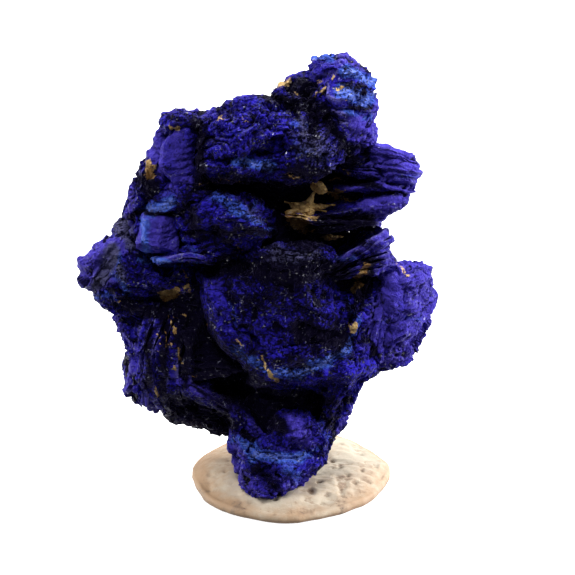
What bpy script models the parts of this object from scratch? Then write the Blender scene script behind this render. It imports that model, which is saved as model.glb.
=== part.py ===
"""Azurite specimen: intergrown rosettes of bladed azurite, stood on a pressed pat of putty.

Lengths below are millimetres. The origin is the middle of the putty's flat underside, +Z is up,
and -Y is the side the specimen is shown from.
"""

import math
import random
from collections import namedtuple

import bmesh
import bpy
from mathutils import Matrix, Vector, noise

METRES_PER_MM = 0.001
SEED = 5

# The putty pat, pressed flat by a thumb.
PAD_RADII = (7.4, 8.1)
PAD_THICKNESS = 1.7
PAD_RIM_RADIUS = 0.55
PAD_SIDES = 36
PAD_RINGS = (0.25, 0.6, 0.88)
SOCKET_CLEARANCE = 0.3

# Long waves that bend every plate the same way: how far, along which way, over what length, phase.
SWAYS = (
    ((0.30, 0.00, 0.34), (0.2, 0.9, 0.4), 13.0, 0.4),
    ((-0.22, 0.26, 0.10), (0.8, -0.1, 0.6), 9.0, 2.1),
    ((0.10, -0.18, 0.24), (0.9, 0.5, -0.3), 6.0, 4.0),
)

# A rosette is a stack of plates cut from an ellipsoid: the radii are along the plates, across
# them and through the stack; "along" is the way the first radius points; "round" is the
# ellipsoid's exponent, so 2 is round and 4 is boxy; "lean" slides the plates from foot to head.
Rosette = namedtuple(
    "Rosette", "name centre radii normal plates sides round along lean", defaults=((1, 0, 0), (0, 0, 0))
)
ROSETTES = (
    # upper half, front
    Rosette("crest", (3.1, -1.2, 30.2), (2.8, 3.2, 3.7), (0.10, -0.12, 1), 5, 9, 4.5, lean=(-1.1, 0, 0)),
    Rosette("brow", (-2.2, -1.7, 27.3), (5.2, 4.8, 3.3), (-0.34, -0.35, 0.87), 4, 9, 2.6),
    Rosette("brow_ridge", (-3.2, 0.2, 29.5), (2.8, 2.8, 1.0), (-0.2, -0.1, 1), 2, 8, 2.5),
    Rosette("brow_bump", (-0.4, 0.2, 29.4), (1.5, 2.2, 1.4), (-0.6, -0.1, 0.8), 2, 7, 3.0),
    Rosette("temple", (2.2, -3.4, 27.8), (2.2, 2.2, 2.3), (0.4, -0.7, 0.6), 2, 9, 2.8),
    Rosette("cheek", (-8.4, -0.4, 25.0), (4.4, 3.2, 2.0), (-0.86, -0.15, 0.48), 3, 9, 2.6, along=(0.45, 0, 0.9)),
    Rosette("lip", (-4.0, -3.2, 23.0), (3.9, 3.7, 2.0), (-0.12, -0.2, 1), 3, 10, 2.2),
    Rosette("shelf", (-8.0, -2.5, 19.3), (3.2, 3.3, 0.3), (0.04, 0.0, 1), 1, 9, 2.0),
    # left side
    Rosette("shoulder", (-12.5, -0.2, 16.9), (2.6, 3.0, 2.5), (-0.5, -0.3, 0.8), 3, 9, 2.8),
    Rosette("shoulder_top", (-11.2, 0.4, 20.2), (1.3, 2.0, 1.2), (-0.7, 0.0, 0.7), 2, 7, 3.0),
    Rosette("under_shelf", (-9.2, -1.6, 17.2), (2.8, 3.0, 1.6), (0.1, -0.5, 0.8), 2, 8, 2.5),
    Rosette("echelon", (-11.4, -0.4, 14.0), (2.9, 3.0, 1.7), (-0.75, -0.10, -0.66), 3, 8, 3.5, along=(0.6, 0, -0.8)),
    # lower half, front
    Rosette("dome", (-0.4, -2.5, 14.4), (6.1, 5.2, 4.7), (0.14, -0.85, 0.5), 4, 11, 2.3, (0.9, 0, -0.42), (-0.9, 0, 0.9)),
    Rosette("chin", (1.2, -4.7, 10.8), (2.9, 2.6, 1.3), (0.1, -0.4, 0.9), 2, 9, 2.6),
    Rosette("flank", (3.8, -2.4, 9.2), (4.2, 3.0, 1.4), (0.90, -0.35, -0.3), 3, 9, 2.4, along=(0.33, 0, 0.94)),
    Rosette("right_knob", (8.4, -0.8, 15.6), (2.9, 3.5, 2.6), (0.5, -0.35, 0.8), 3, 8, 2.8),
    Rosette("right_pad", (7.0, -1.8, 13.6), (2.6, 3.0, 2.3), (-0.5, -0.55, 0.65), 3, 8, 2.8),
    Rosette("right_tail", (5.8, -1.0, 10.7), (2.2, 2.8, 1.0), (0.7, -0.2, -0.65), 2, 8, 2.6, along=(0.6, 0, 0.7)),
    Rosette("lap", (-5.4, -1.6, 8.4), (3.4, 3.8, 2.4), (0.42, -0.12, 0.9), 3, 10, 3.0),
    # foot
    Rosette("neck", (1.1, -2.2, 7.0), (3.4, 3.2, 3.5), (0.3, -0.6, 0.7), 3, 8, 2.6),
    Rosette("foot_left", (-2.9, -3.0, 6.2), (1.8, 2.5, 2.1), (-0.7, -0.5, 0.5), 2, 8, 2.6),
    Rosette("foot_nub", (0.4, -4.7, 6.4), (1.5, 1.5, 1.2), (0.1, -0.9, 0.4), 2, 7, 2.6),
    # back
    Rosette("nape", (-1.9, 4.4, 24.6), (5.6, 4.0, 3.6), (0.05, 0.55, 0.8), 3, 9, 2.6),
    Rosette("left_back", (-8.3, 3.6, 17.6), (3.9, 3.4, 4.2), (-0.6, 0.6, 0.4), 3, 9, 2.6),
    Rosette("right_back", (4.4, 3.8, 14.3), (3.6, 3.4, 3.8), (0.5, 0.7, 0.4), 3, 9, 2.6),
    Rosette("rump", (-1.8, 4.4, 12.4), (5.6, 4.0, 4.0), (0.0, 0.8, -0.4), 3, 8, 2.6),
)

# A fan is blades that spread from a hinge: directions are degrees up from the horizontal, in an
# upright plane whose heading is degrees about Z. Bowl is how far a blade's rim curls up.
Fan = namedtuple("Fan", "name hinge first last heading length width blades sides bowl")
FANS = (
    Fan("wing", (1.4, 0.2, 23.9), -16, 22, 0, 8.9, 9.0, 6, 7, 0.3),
    Fan("tray", (1.3, -1.1, 18.5), -2, 22, 0, 6.2, 6.6, 4, 7, 0.8),
    Fan("skirt", (-10.2, -1.2, 15.8), -106, -70, 0, 9.4, 6.6, 5, 7, 0.2),
    Fan("hem", (-2.4, -0.4, 11.4), 160, 196, 0, 6.2, 6.4, 3, 7, 0.2),
    Fan("back_wing", (-1.2, 2.4, 22.6), -24, 12, 90, 6.8, 9.4, 3, 8, 0.3),
    Fan("back_skirt", (-2.4, 2.2, 16.4), -66, -24, 104, 7.4, 9.4, 3, 8, 0.2),
    Fan("left_fin", (-6.2, 2.6, 21.0), -16, 10, 158, 6.0, 6.4, 2, 8, 0.2),
    Fan("right_fin", (1.4, 2.6, 18.4), -30, -2, 34, 6.2, 6.8, 2, 8, 0.3),
)

# Outer blades are this much shorter than the middle one, and a blade fills this share of its step.
FAN_ROUNDING = 0.13
FAN_FILL = 1.1

# Thick single crystals: centre, broad-face normal, radii across and up, thickness.
Block = namedtuple("Block", "name centre normal radii thickness sides")
BLOCKS = (
    Block("cheek_cap", (-7.3, -1.0, 29.2), (-0.2, -0.3, 1), (1.8, 2.4), 1.5, 8),
    Block("cheek_face", (-8.0, -3.2, 27.0), (-0.25, -1, 0.2), (1.5, 2.3), 3.0, 7),
    Block("cheek_wedge", (-9.0, -3.5, 24.0), (-0.3, -1, 0.5), (1.2, 1.0), 2.6, 6),
    Block("jaw", (-9.5, -3.4, 21.4), (-0.35, -1, 0.1), (1.7, 1.8), 3.2, 7),
    Block("jaw_side", (-7.3, -3.8, 21.6), (0.3, -1, 0.1), (0.9, 1.4), 2.6, 6),
    Block("right_ear", (7.3, -3.1, 17.4), (0.1, -1, 0.3), (1.0, 1.5), 2.0, 7),
)

# Massive azurite that the rosettes grow from, as knobbly ellipsoids: centre, radii, lean about Y.
Mass = namedtuple("Mass", "name centre radii lean level")
MASSES = (
    Mass("heart", (-1.6, 1.8, 18.6), (5.8, 4.8, 9.4), 4, 2),
    Mass("heart_left", (-7.4, 1.8, 19.0), (4.2, 3.8, 7.4), 10, 1),
    Mass("heart_right", (4.0, 1.2, 14.6), (4.4, 4.2, 4.6), -10, 1),
    Mass("heart_top", (0.6, 0.4, 27.6), (4.6, 3.8, 3.4), -18, 1),
    Mass("heart_low", (0.0, -0.6, 8.6), (3.6, 3.6, 4.6), 4, 1),
    Mass("heart_side", (-6.6, 1.6, 11.4), (3.4, 3.4, 4.0), -14, 1),
)
MASS_RELIEF = 0.14
MASS_BUMPS_PER_MM = 0.7
# The foot is the one mass that goes into the putty.
FOOT = Mass("foot", (-1.0, -3.2, 3.6), (3.1, 3.0, 2.8), -6, 2)


def clear_scene():
    for old in list(bpy.data.objects):
        bpy.data.objects.remove(old)


def make_material(name, colour, roughness):
    material = bpy.data.materials.new(name)
    material.use_nodes = True
    shader = material.node_tree.nodes["Principled BSDF"]
    shader.inputs["Base Color"].default_value = (*colour, 1.0)
    shader.inputs["Roughness"].default_value = roughness
    shader.inputs["Metallic"].default_value = 0.0
    return material


def swayed(point):
    """The point moved by the long waves, so that neighbouring plates stay in step."""
    moved = Vector(point)
    for shift, heading, length, phase in SWAYS:
        turn = math.tau * Vector(point).dot(Vector(heading).normalized()) / length + phase
        moved += Vector(shift) * math.sin(turn)
    return moved


def add_object(name, shape, collection):
    """Closes the bmesh into a mesh object, with every face pointing out."""
    bmesh.ops.recalc_face_normals(shape, faces=shape.faces)
    mesh = bpy.data.meshes.new(name)
    shape.to_mesh(mesh)
    shape.free()
    made = bpy.data.objects.new(name, mesh)
    collection.objects.link(made)
    return made


def turned_to(normal, along):
    """A rotation whose Z is the normal and whose X is the given direction, laid in the plate."""
    up = Vector(normal).normalized()
    across = Vector(along) - up * Vector(along).dot(up)
    across.normalize()
    return Matrix((across, up.cross(across), up)).transposed()


def mass_shape(mass, grow=0.0):
    """A knobbly ellipsoid: an icosphere whose points move along their radius by fractal noise."""
    shape = bmesh.new()
    bmesh.ops.create_icosphere(shape, subdivisions=mass.level, radius=1.0)
    turn = Matrix.Rotation(math.radians(mass.lean), 3, "Y")
    for vert in shape.verts:
        ray = vert.co.normalized()
        place = Vector(mass.centre) + turn @ Vector(r * c for r, c in zip(mass.radii, ray))
        relief = MASS_RELIEF * min(mass.radii) * noise.fractal(place * MASS_BUMPS_PER_MM, 0.8, 2.0, 3)
        reach = Vector((r + relief + grow) * c for r, c in zip(mass.radii, ray))
        vert.co = Vector(mass.centre) + turn @ reach
    return shape


def outline(chance, sides, power=2):
    """A crystal's uneven outline: the heading of each corner and its reach as a share of the radius.

    The corners stray about a circle, or with a higher power about a rounded rectangle.
    """
    corners = []
    for side in range(sides):
        angle = math.tau * (side + chance.uniform(-0.3, 0.3)) / sides
        squared = (abs(math.cos(angle)) ** power + abs(math.sin(angle)) ** power) ** (-1 / power)
        corners.append((angle, squared * chance.uniform(0.8, 1.1)))
    return corners


def plate_shape(corners, centre, frame, radii, thickness, bowl=0.0, wedge=0.0):
    """A tabular crystal: the outline with a chamfered rim, between two faces.

    Bowl lifts the rim, and wedge thickens the plate towards its +X end by that share.
    """
    levels = ((0.5, 0.8), (0.05, 1.0), (-0.5, 0.82))
    shape = bmesh.new()

    def point(angle, reach, level):
        x, y = reach * math.cos(angle), reach * math.sin(angle)
        height = thickness * level * (1 + wedge * x) + bowl * reach**2
        return shape.verts.new(swayed(Vector(centre) + frame @ Vector((radii[0] * x, radii[1] * y, height))))

    rings = [[point(angle, reach * inset, level) for angle, reach in corners] for level, inset in levels]
    for upper, lower in zip(rings, rings[1:]):
        for side in range(len(corners)):
            after = (side + 1) % len(corners)
            shape.faces.new((upper[side], lower[side], lower[after], upper[after]))
    for ring, level in ((rings[0], 0.5), (rings[-1], -0.5)):
        middle = point(0, 0, level)
        for side in range(len(corners)):
            shape.faces.new((middle, ring[side], ring[(side + 1) % len(corners)]))
    return shape


def grow_rosette(chance, rosette, collection):
    """Plates one on another through the ellipsoid, each a little turned and out of line."""
    along, across, through = rosette.radii
    pitch = 2 * through / rosette.plates
    up = Vector(rosette.normal).normalized()
    shared = outline(chance, rosette.sides)
    for number in range(rosette.plates):
        share = (2 * number + 1) / rosette.plates - 1
        width = (1 - abs(share) ** rosette.round) ** (1 / rosette.round)
        tilt = up + Vector(chance.uniform(-0.11, 0.11) for _ in "xyz")
        frame = turned_to(tilt, rosette.along)
        slip = Vector((along * chance.uniform(-0.08, 0.08), across * chance.uniform(-0.08, 0.08), 0))
        place = Vector(rosette.centre) + up * share * through + Vector(rosette.lean) * share / 2 + frame @ slip
        corners = [(angle, reach * chance.uniform(0.93, 1.06)) for angle, reach in shared]
        thickness = pitch * chance.uniform(1.0, 1.2)
        shape = plate_shape(corners, place, frame, (along * width, across * width), thickness)
        add_object(f"{rosette.name}_{number}", shape, collection)


def grow_fan(chance, fan, collection):
    """Blades spread about a hinge line, thicker outwards, like the leaves of a half-open book."""
    plane = Matrix.Rotation(math.radians(fan.heading), 3, "Z")
    step = math.radians(fan.last - fan.first) / (fan.blades - 1)
    shared = outline(chance, fan.sides, power=5)
    for number in range(fan.blades):
        share = 2 * number / (fan.blades - 1) - 1
        angle = math.radians(fan.first) + step * number + chance.uniform(-0.02, 0.02)
        reach = fan.length * (1 - FAN_ROUNDING * share**2) * chance.uniform(0.97, 1.03)
        along = plane @ Vector((math.cos(angle), 0, math.sin(angle)))
        normal = plane @ Vector((-math.sin(angle), 0, math.cos(angle)))
        centre = Vector(fan.hinge) + along * reach / 2
        corners = [(heading, out * chance.uniform(0.95, 1.05)) for heading, out in shared]
        radii = (reach / 2, fan.width / 2)
        thickness = FAN_FILL * abs(step) * fan.length / 2
        shape = plate_shape(corners, centre, turned_to(normal, along), radii, thickness, fan.bowl, wedge=0.5)
        add_object(f"{fan.name}_{number}", shape, collection)


def grow_block(chance, block, collection):
    """One thick crystal, its long side standing up."""
    frame = turned_to(block.normal, (1, 0, 0))
    shape = plate_shape(outline(chance, block.sides), block.centre, frame, block.radii, block.thickness)
    add_object(block.name, shape, collection)


def keep_outer_skin(mesh):
    """Drops whatever the union leaves inside the skin with the most faces, or folded flat on it.

    A fold hangs on an edge with four faces, so the skin is followed only over edges with two.
    """
    shape = bmesh.new()
    shape.from_mesh(mesh)
    bmesh.ops.triangulate(shape, faces=shape.faces)
    left, skins = set(shape.faces), []
    while left:
        seed = left.pop()
        skin, open_faces = {seed}, [seed]
        while open_faces:
            for edge in open_faces.pop().edges:
                beside = edge.link_faces if len(edge.link_faces) == 2 else ()
                for face in beside:
                    if face in left:
                        left.remove(face)
                        skin.add(face)
                        open_faces.append(face)
        skins.append(skin)
    largest = max(skins, key=len)
    bmesh.ops.delete(shape, geom=[f for f in shape.faces if f not in largest], context="FACES")
    shape.to_mesh(mesh)
    shape.free()


def in_metres(made, mesh, material):
    """Gives the object its final mesh, flat shaded, at real size."""
    mesh.transform(Matrix.Scale(METRES_PER_MM, 4))
    mesh.shade_flat()
    mesh.materials.clear()
    mesh.materials.append(material)
    made.modifiers.clear()
    made.data = mesh


def fused(base, growths):
    """The exact union of the base with every crystal in the collection, as one new mesh."""
    join = base.modifiers.new("join", "BOOLEAN")
    join.operation = "UNION"
    join.operand_type = "COLLECTION"
    join.collection = growths
    join.use_self = True
    bpy.context.view_layer.update()
    graph = bpy.context.evaluated_depsgraph_get()
    mesh = bpy.data.meshes.new_from_object(base.evaluated_get(graph))
    keep_outer_skin(mesh)
    return mesh


def make_azurite(scene, material):
    growths = bpy.data.collections.new("growths")
    growths.hide_render = True
    scene.children.link(growths)
    chance = random.Random(SEED)
    for mass in (*MASSES, FOOT):
        add_object(mass.name, mass_shape(mass), growths)
    for rosette in ROSETTES:
        grow_rosette(chance, rosette, growths)
    for fan in FANS:
        grow_fan(chance, fan, growths)
    for block in BLOCKS:
        grow_block(chance, block, growths)
    base = growths.objects[MASSES[0].name]
    growths.objects.unlink(base)
    base.name = "azurite_cluster"
    scene.objects.link(base)
    in_metres(base, fused(base, growths), material)
    for made in list(growths.objects):
        bpy.data.objects.remove(made)
    return base


def pad_reach(angle):
    """How far the pressed edge spreads, as a share of the pat's radius."""
    return 1 + 0.035 * math.sin(2 * angle + 0.7) + 0.03 * math.sin(3 * angle + 2.1) + 0.012 * math.sin(7 * angle)


def pad_top(x, y):
    """Height of the pat's upper face, with the dents that fingers left."""
    dents = noise.fractal(Vector((x * 0.35, y * 0.35, 4.0)), 0.7, 2.0, 3)
    return PAD_THICKNESS + 0.22 * dents


def pad_shape():
    """A round pat: rings over the top, down a rounded edge, to a flat underside."""
    shape = bmesh.new()
    rings = []

    def ring(share, height=None):
        made = []
        for side in range(PAD_SIDES):
            angle = math.tau * side / PAD_SIDES
            reach = share * pad_reach(angle)
            x, y = PAD_RADII[0] * reach * math.cos(angle), PAD_RADII[1] * reach * math.sin(angle)
            z = pad_top(x, y) if height is None else height
            made.append(shape.verts.new((x, y, z)))
        rings.append(made)

    for share in PAD_RINGS:
        ring(share)
    edge = PAD_RIM_RADIUS / PAD_RADII[0]
    ring(1 - 0.35 * edge, PAD_THICKNESS - 0.3)
    ring(1.0, PAD_THICKNESS * 0.42)
    ring(1 - edge, 0.0)
    for upper, lower in zip(rings, rings[1:]):
        for side in range(PAD_SIDES):
            after = (side + 1) % PAD_SIDES
            shape.faces.new((upper[side], lower[side], lower[after], upper[after]))
    top = shape.verts.new((0, 0, pad_top(0, 0)))
    for side in range(PAD_SIDES):
        shape.faces.new((top, rings[0][side], rings[0][(side + 1) % PAD_SIDES]))
    shape.faces.new(rings[-1])
    return shape


def make_pad(scene, material):
    """The pat, with a socket pressed by the specimen's foot."""
    pad = add_object("putty_pad", pad_shape(), scene)
    cutter = add_object("foot_print", mass_shape(FOOT, grow=SOCKET_CLEARANCE), scene)
    cutter.hide_render = True
    cutter.display_type = "WIRE"
    press = pad.modifiers.new("socket", "BOOLEAN")
    press.operation = "DIFFERENCE"
    press.object = cutter
    bpy.context.view_layer.update()
    graph = bpy.context.evaluated_depsgraph_get()
    mesh = bpy.data.meshes.new_from_object(pad.evaluated_get(graph))
    in_metres(pad, mesh, material)
    bpy.data.objects.remove(cutter)
    return pad


def main():
    clear_scene()
    scene = bpy.context.scene.collection
    blue = make_material("azurite", (0.018, 0.02, 0.32), 0.45)
    putty = make_material("putty", (0.78, 0.72, 0.6), 0.7)
    make_azurite(scene, blue)
    make_pad(scene, putty)


main()
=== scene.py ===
import math

import bpy
import numpy as np
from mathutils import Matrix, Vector


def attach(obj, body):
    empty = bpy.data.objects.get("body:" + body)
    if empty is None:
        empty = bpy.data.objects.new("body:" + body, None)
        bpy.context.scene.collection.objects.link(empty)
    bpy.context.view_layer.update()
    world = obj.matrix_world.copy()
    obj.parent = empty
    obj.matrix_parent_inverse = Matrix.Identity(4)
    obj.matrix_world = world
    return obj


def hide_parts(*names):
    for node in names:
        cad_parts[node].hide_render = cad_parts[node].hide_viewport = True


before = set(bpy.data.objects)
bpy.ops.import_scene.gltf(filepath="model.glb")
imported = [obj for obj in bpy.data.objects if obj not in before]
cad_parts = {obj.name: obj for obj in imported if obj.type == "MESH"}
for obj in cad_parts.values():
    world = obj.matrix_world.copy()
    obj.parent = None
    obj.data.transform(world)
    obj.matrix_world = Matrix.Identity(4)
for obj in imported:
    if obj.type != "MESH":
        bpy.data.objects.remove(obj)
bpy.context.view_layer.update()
print("frame loaded")

# Shapes are worked out in millimetres, with the origin under the middle of the putty, +Z up and
# -Y to the viewer, and are put into the meshes in metres.
mm = 0.001
tau = 2 * math.pi
viewTilt = math.radians(20)  # how far the camera looks down
viewSin, viewCos = math.sin(viewTilt), math.cos(viewTilt)
# one row each: to the right, up as it is seen, and towards the viewer
seenAxes = np.array([[1, 0, 0], [0, viewSin, viewCos], [0, -viewCos, viewSin]])
# the noises that all pieces share, by number, so that neighbours bend and break alike
salts = {"warp": 40, "buckle": 44, "markUp": 61, "markAcross": 66, "rough": 70, "crumb": 75, "drift": 80,
         "slab": 84, "chip": 88, "pit": 90}


def seenAt(right, up, depth):
    # the point that shows this far right and up on the front, at this depth along Y
    return np.array([right, depth, (up - depth * viewSin) / viewCos])


def seenWay(right, up, near):
    return np.array([right, up, near]) @ seenAxes


def hashed(cell, salt):
    # each lattice corner's three whole numbers, multiplied, shifted and folded into 0..1
    x, y, z = (cell[..., axis].astype(np.uint32) for axis in range(3))
    mixed = x * np.uint32(374761393) + y * np.uint32(668265263) + z * np.uint32(2246822519)
    mixed = mixed + np.uint32(salt * 97561 + 12289)
    mixed = (mixed ^ (mixed >> np.uint32(13))) * np.uint32(1274126177)
    mixed = (mixed ^ (mixed >> np.uint32(15))) * np.uint32(2654435761)
    return (mixed ^ (mixed >> np.uint32(16))) / 4294967296.0


def bumps(points, size, salt):
    # value noise, -1..1: the eight corner values blended by 6t^5 - 15t^4 + 10t^3 along each axis
    scaled = np.asarray(points) / size
    base = np.floor(scaled)
    part = scaled - base
    blend = part**3 * (part * (part * 6 - 15) + 10)
    cell = base.astype(np.int64)
    total = np.zeros(scaled.shape[:-1])
    for corner in range(8):
        step = np.array([corner & 1, corner >> 1 & 1, corner >> 2])
        weight = np.where(step == 1, blend, 1 - blend).prod(-1)
        total += weight * hashed(cell + step, salt)
    return 2 * total - 1


def fractal(points, size, octaves, salt):
    # bumps at size, size/2, size/4 ..., each half as strong, scaled back to -1..1
    total = sum(bumps(points, size / 2**level, salt + level) / 2**level for level in range(octaves))
    return total / (2 - 2 / 2**octaves)


def grains(points, size, salt):
    # distance to the nearest of one random seed point per lattice cell, in cell widths
    scaled = np.asarray(points) / size
    base = np.floor(scaled).astype(np.int64)
    nearest = np.full(scaled.shape[:-1], 9.0)
    for index in range(27):
        cell = base + np.array([index % 3, index // 3 % 3, index // 9]) - 1
        seed = cell + np.stack([hashed(cell, salt + axis) for axis in range(3)], -1)
        nearest = np.minimum(nearest, ((scaled - seed) ** 2).sum(-1))
    return np.sqrt(nearest)


def shards(points, salt):
    # the lattice cells of grains() as broken faces, each with a level and a slope of its own:
    # level + slope * (point - seed). Also a shade for each face, and how near its border a point is
    base = np.floor(points).astype(np.int64)
    nearest = np.full(points.shape[:-1], 9.0)
    second = nearest.copy()
    height, shade = np.zeros_like(nearest), np.zeros_like(nearest)
    for index in range(27):
        cell = base + np.array([index % 3, index // 3 % 3, index // 9]) - 1
        throws = np.stack([hashed(cell, salt + axis) for axis in range(3)], -1)
        gap = points - cell - 0.1 - 0.8 * throws
        away = (gap**2).sum(-1)
        nearer = away < nearest
        second = np.where(nearer, nearest, np.minimum(second, away))
        nearest = np.where(nearer, away, nearest)
        turned = (throws * 7.3) % 1 - 0.5
        level = (throws.sum(-1) * 5.1) % 1 - 0.5
        height = np.where(nearer, level + 1.6 * (gap * turned).sum(-1), height)
        shade = np.where(nearer, (throws[..., 0] * 11.7) % 1, shade)
    return height, shade, np.sqrt(second) - np.sqrt(nearest)


def drifted(points, size, amount, salt):
    # each point moved along X, Y and Z by a noise of its own
    moves = [fractal(points, size, 3, salt + 10 * axis) for axis in range(3)]
    return points + amount * np.stack(moves, -1)


def ease(low, high, value):
    # 0 below low, 1 above high, 3t^2 - 2t^3 between
    share = np.clip((value - low) / (high - low), 0, 1)
    return share * share * (3 - 2 * share)


def unit(vector):
    vector = np.asarray(vector, float)
    return vector / np.linalg.norm(vector, axis=-1, keepdims=True).clip(1e-9)


def rowsOf(normal, along):
    # three unit rows: along the plate, across it, and its normal
    up = unit(normal)
    first = unit(np.asarray(along) - up * np.dot(along, up))
    return np.array([first, np.cross(up, first), up])


def gridNormals(points, centre):
    # the cross product of the differences along a ring and from ring to ring, pointing outwards
    around = np.roll(points, -1, 1) - np.roll(points, 1, 1)
    onward = np.gradient(points, axis=0)
    normals = unit(np.cross(around, onward))
    outward = ((points - centre) * normals).sum(-1).mean()
    return normals * (1 if outward >= 0 else -1)


def steepness(level, points):
    # how much a value changes per mm of surface: the root of the two squared slopes along the grid
    total = 0
    for change, move in (
        (np.roll(level, -1, 1) - np.roll(level, 1, 1), np.roll(points, -1, 1) - np.roll(points, 1, 1)),
        (np.gradient(level, axis=0), np.gradient(points, axis=0)),
    ):
        total = total + (change / np.linalg.norm(move, axis=-1).clip(1e-3)) ** 2
    return np.sqrt(total).clip(0.3)


clusterCore = (-1.5, 1.5)  # X and Y of the middle of the cluster
footLevel = 0.3  # where the foot ends, inside the putty


def outerHeadings(count, axes, centre):
    # headings round a grid, closer together on the side that faces out of the cluster
    outward = axes @ (centre - np.array([*clusterCore, centre[2]]))
    facing = math.atan2(outward[1], outward[0])
    even = tau * np.arange(count) / count
    return even - 0.35 * np.sin(even - facing)


# long waves that bend neighbouring plates the same way: shift, heading, length, phase
swayWaves = [
    ((0.30, 0.00, 0.34), (0.2, 0.9, 0.4), 13.0, 0.4),
    ((-0.22, 0.26, 0.10), (0.8, -0.1, 0.6), 9.0, 2.1),
    ((0.10, -0.18, 0.24), (0.9, 0.5, -0.3), 6.0, 4.0),
]


def swayed(points):
    # each point plus the sum of shift * sin(tau * distance along heading / length + phase)
    moved = points.copy()
    for shift, heading, length, phase in swayWaves:
        turn = tau * (points @ unit(heading)) / length + phase
        moved += np.sin(turn)[..., None] * np.array(shift)
    return moved


def polygon(chance, headings, sides, spread):
    # the reach of a polygon whose sides stand at uneven headings and distances:
    # 1 / max(cos(heading - side heading) / side distance)
    facing = tau * (np.arange(sides) + chance.uniform(-0.3, 0.3, sides)) / sides
    away = chance.uniform(1 - spread, 1 + spread, sides)
    return 1 / (np.cos(headings[:, None] - facing) / away).max(1)


def settled(*looks):
    # one dictionary, where each look's values stand over those before it
    return {key: value for look in looks for key, value in look.items()}


# what a stack of plates is like, where its own values say nothing else
plainStack = {
    "normal": (0, 0, 1),
    "along": (1, 0, 0),
    "lean": (0, 0, 0),
    "roundness": 2.6,  # superellipse exponent of the stack seen from the side
    "squareness": 2.0,  # the same for its plates seen from above
    "layers": 8,
    "sides": 8,
    "ledge": 0.07,  # how unevenly the plates end, as a share of the radius
    "jag": 0.025,
    "chip": 0.08,
    "groove": 0.35,  # mm from the plates' edges in to the bottom of the crack between them
    "bevel": 0.07,
    "swell": 0.08,
    "wave": 0.3,  # mm that the layers rise and fall together round the stack
    "rough": 0.2,  # mm of broken relief
    "roughSize": 1.5,
    "grain": 0.05,
    "grainSize": 0.4,
    "terrace": 0.25,  # mm of stepped relief on the end plates
    "tilt": 0.03,
    "slip": 0.03,
    "bowl": 0.0,
    "spread": 0.0,  # degrees that the plates open by, about a hinge at one end
    "shelf": 1,  # rows of points on the exposed side of each ledge
    "bothShelves": False,
    "step": 0.19,  # mm between points round the stack
    "capStep": 1.25,  # times as much between the rings over its ends
    "newBook": 0.34,  # how likely a plate is to start a new book of plates
    "waver": 0.35,  # how far a plate's face wanders, for the thinnest plate
    "gap": 0.11,  # how much of the thinnest plate each side of a crack takes
    "dust": 0.15,
    "green": 0.0,
    "violet": 0.2,
    # how much painted shade darkens the stack
    "dark": 0.0,
    "clay": 0.0,
}


def stack(seed, centre, radii, *shared, **own):
    return settled(plainStack, {"seed": seed, "centre": centre, "radii": radii}, *shared, own)


def fanned(seed, hinge, first, last, heading, length, width, *shared, **own):
    # a stack that opens like a book: its middle plate lies half way between the two angles
    middle = math.radians((first + last) / 2)
    out = np.array([math.cos(math.radians(heading)), math.sin(math.radians(heading)), 0])
    along = out * math.cos(middle) + np.array([0, 0, math.sin(middle)])
    radii = (length / 2, width / 2, length * math.radians(last - first) / 4)
    fan = {
        "along": tuple(along),
        "normal": tuple(out * -math.sin(middle) + np.array([0, 0, math.cos(middle)])),
        "spread": last - first,
        "roundness": 9.0,
        "squareness": 4.0,
        "shelf": 4,
        "bothShelves": True,
    }
    return stack(seed, tuple(np.array(hinge) + along * length / 2), radii, fan, *shared, **own)


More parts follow.
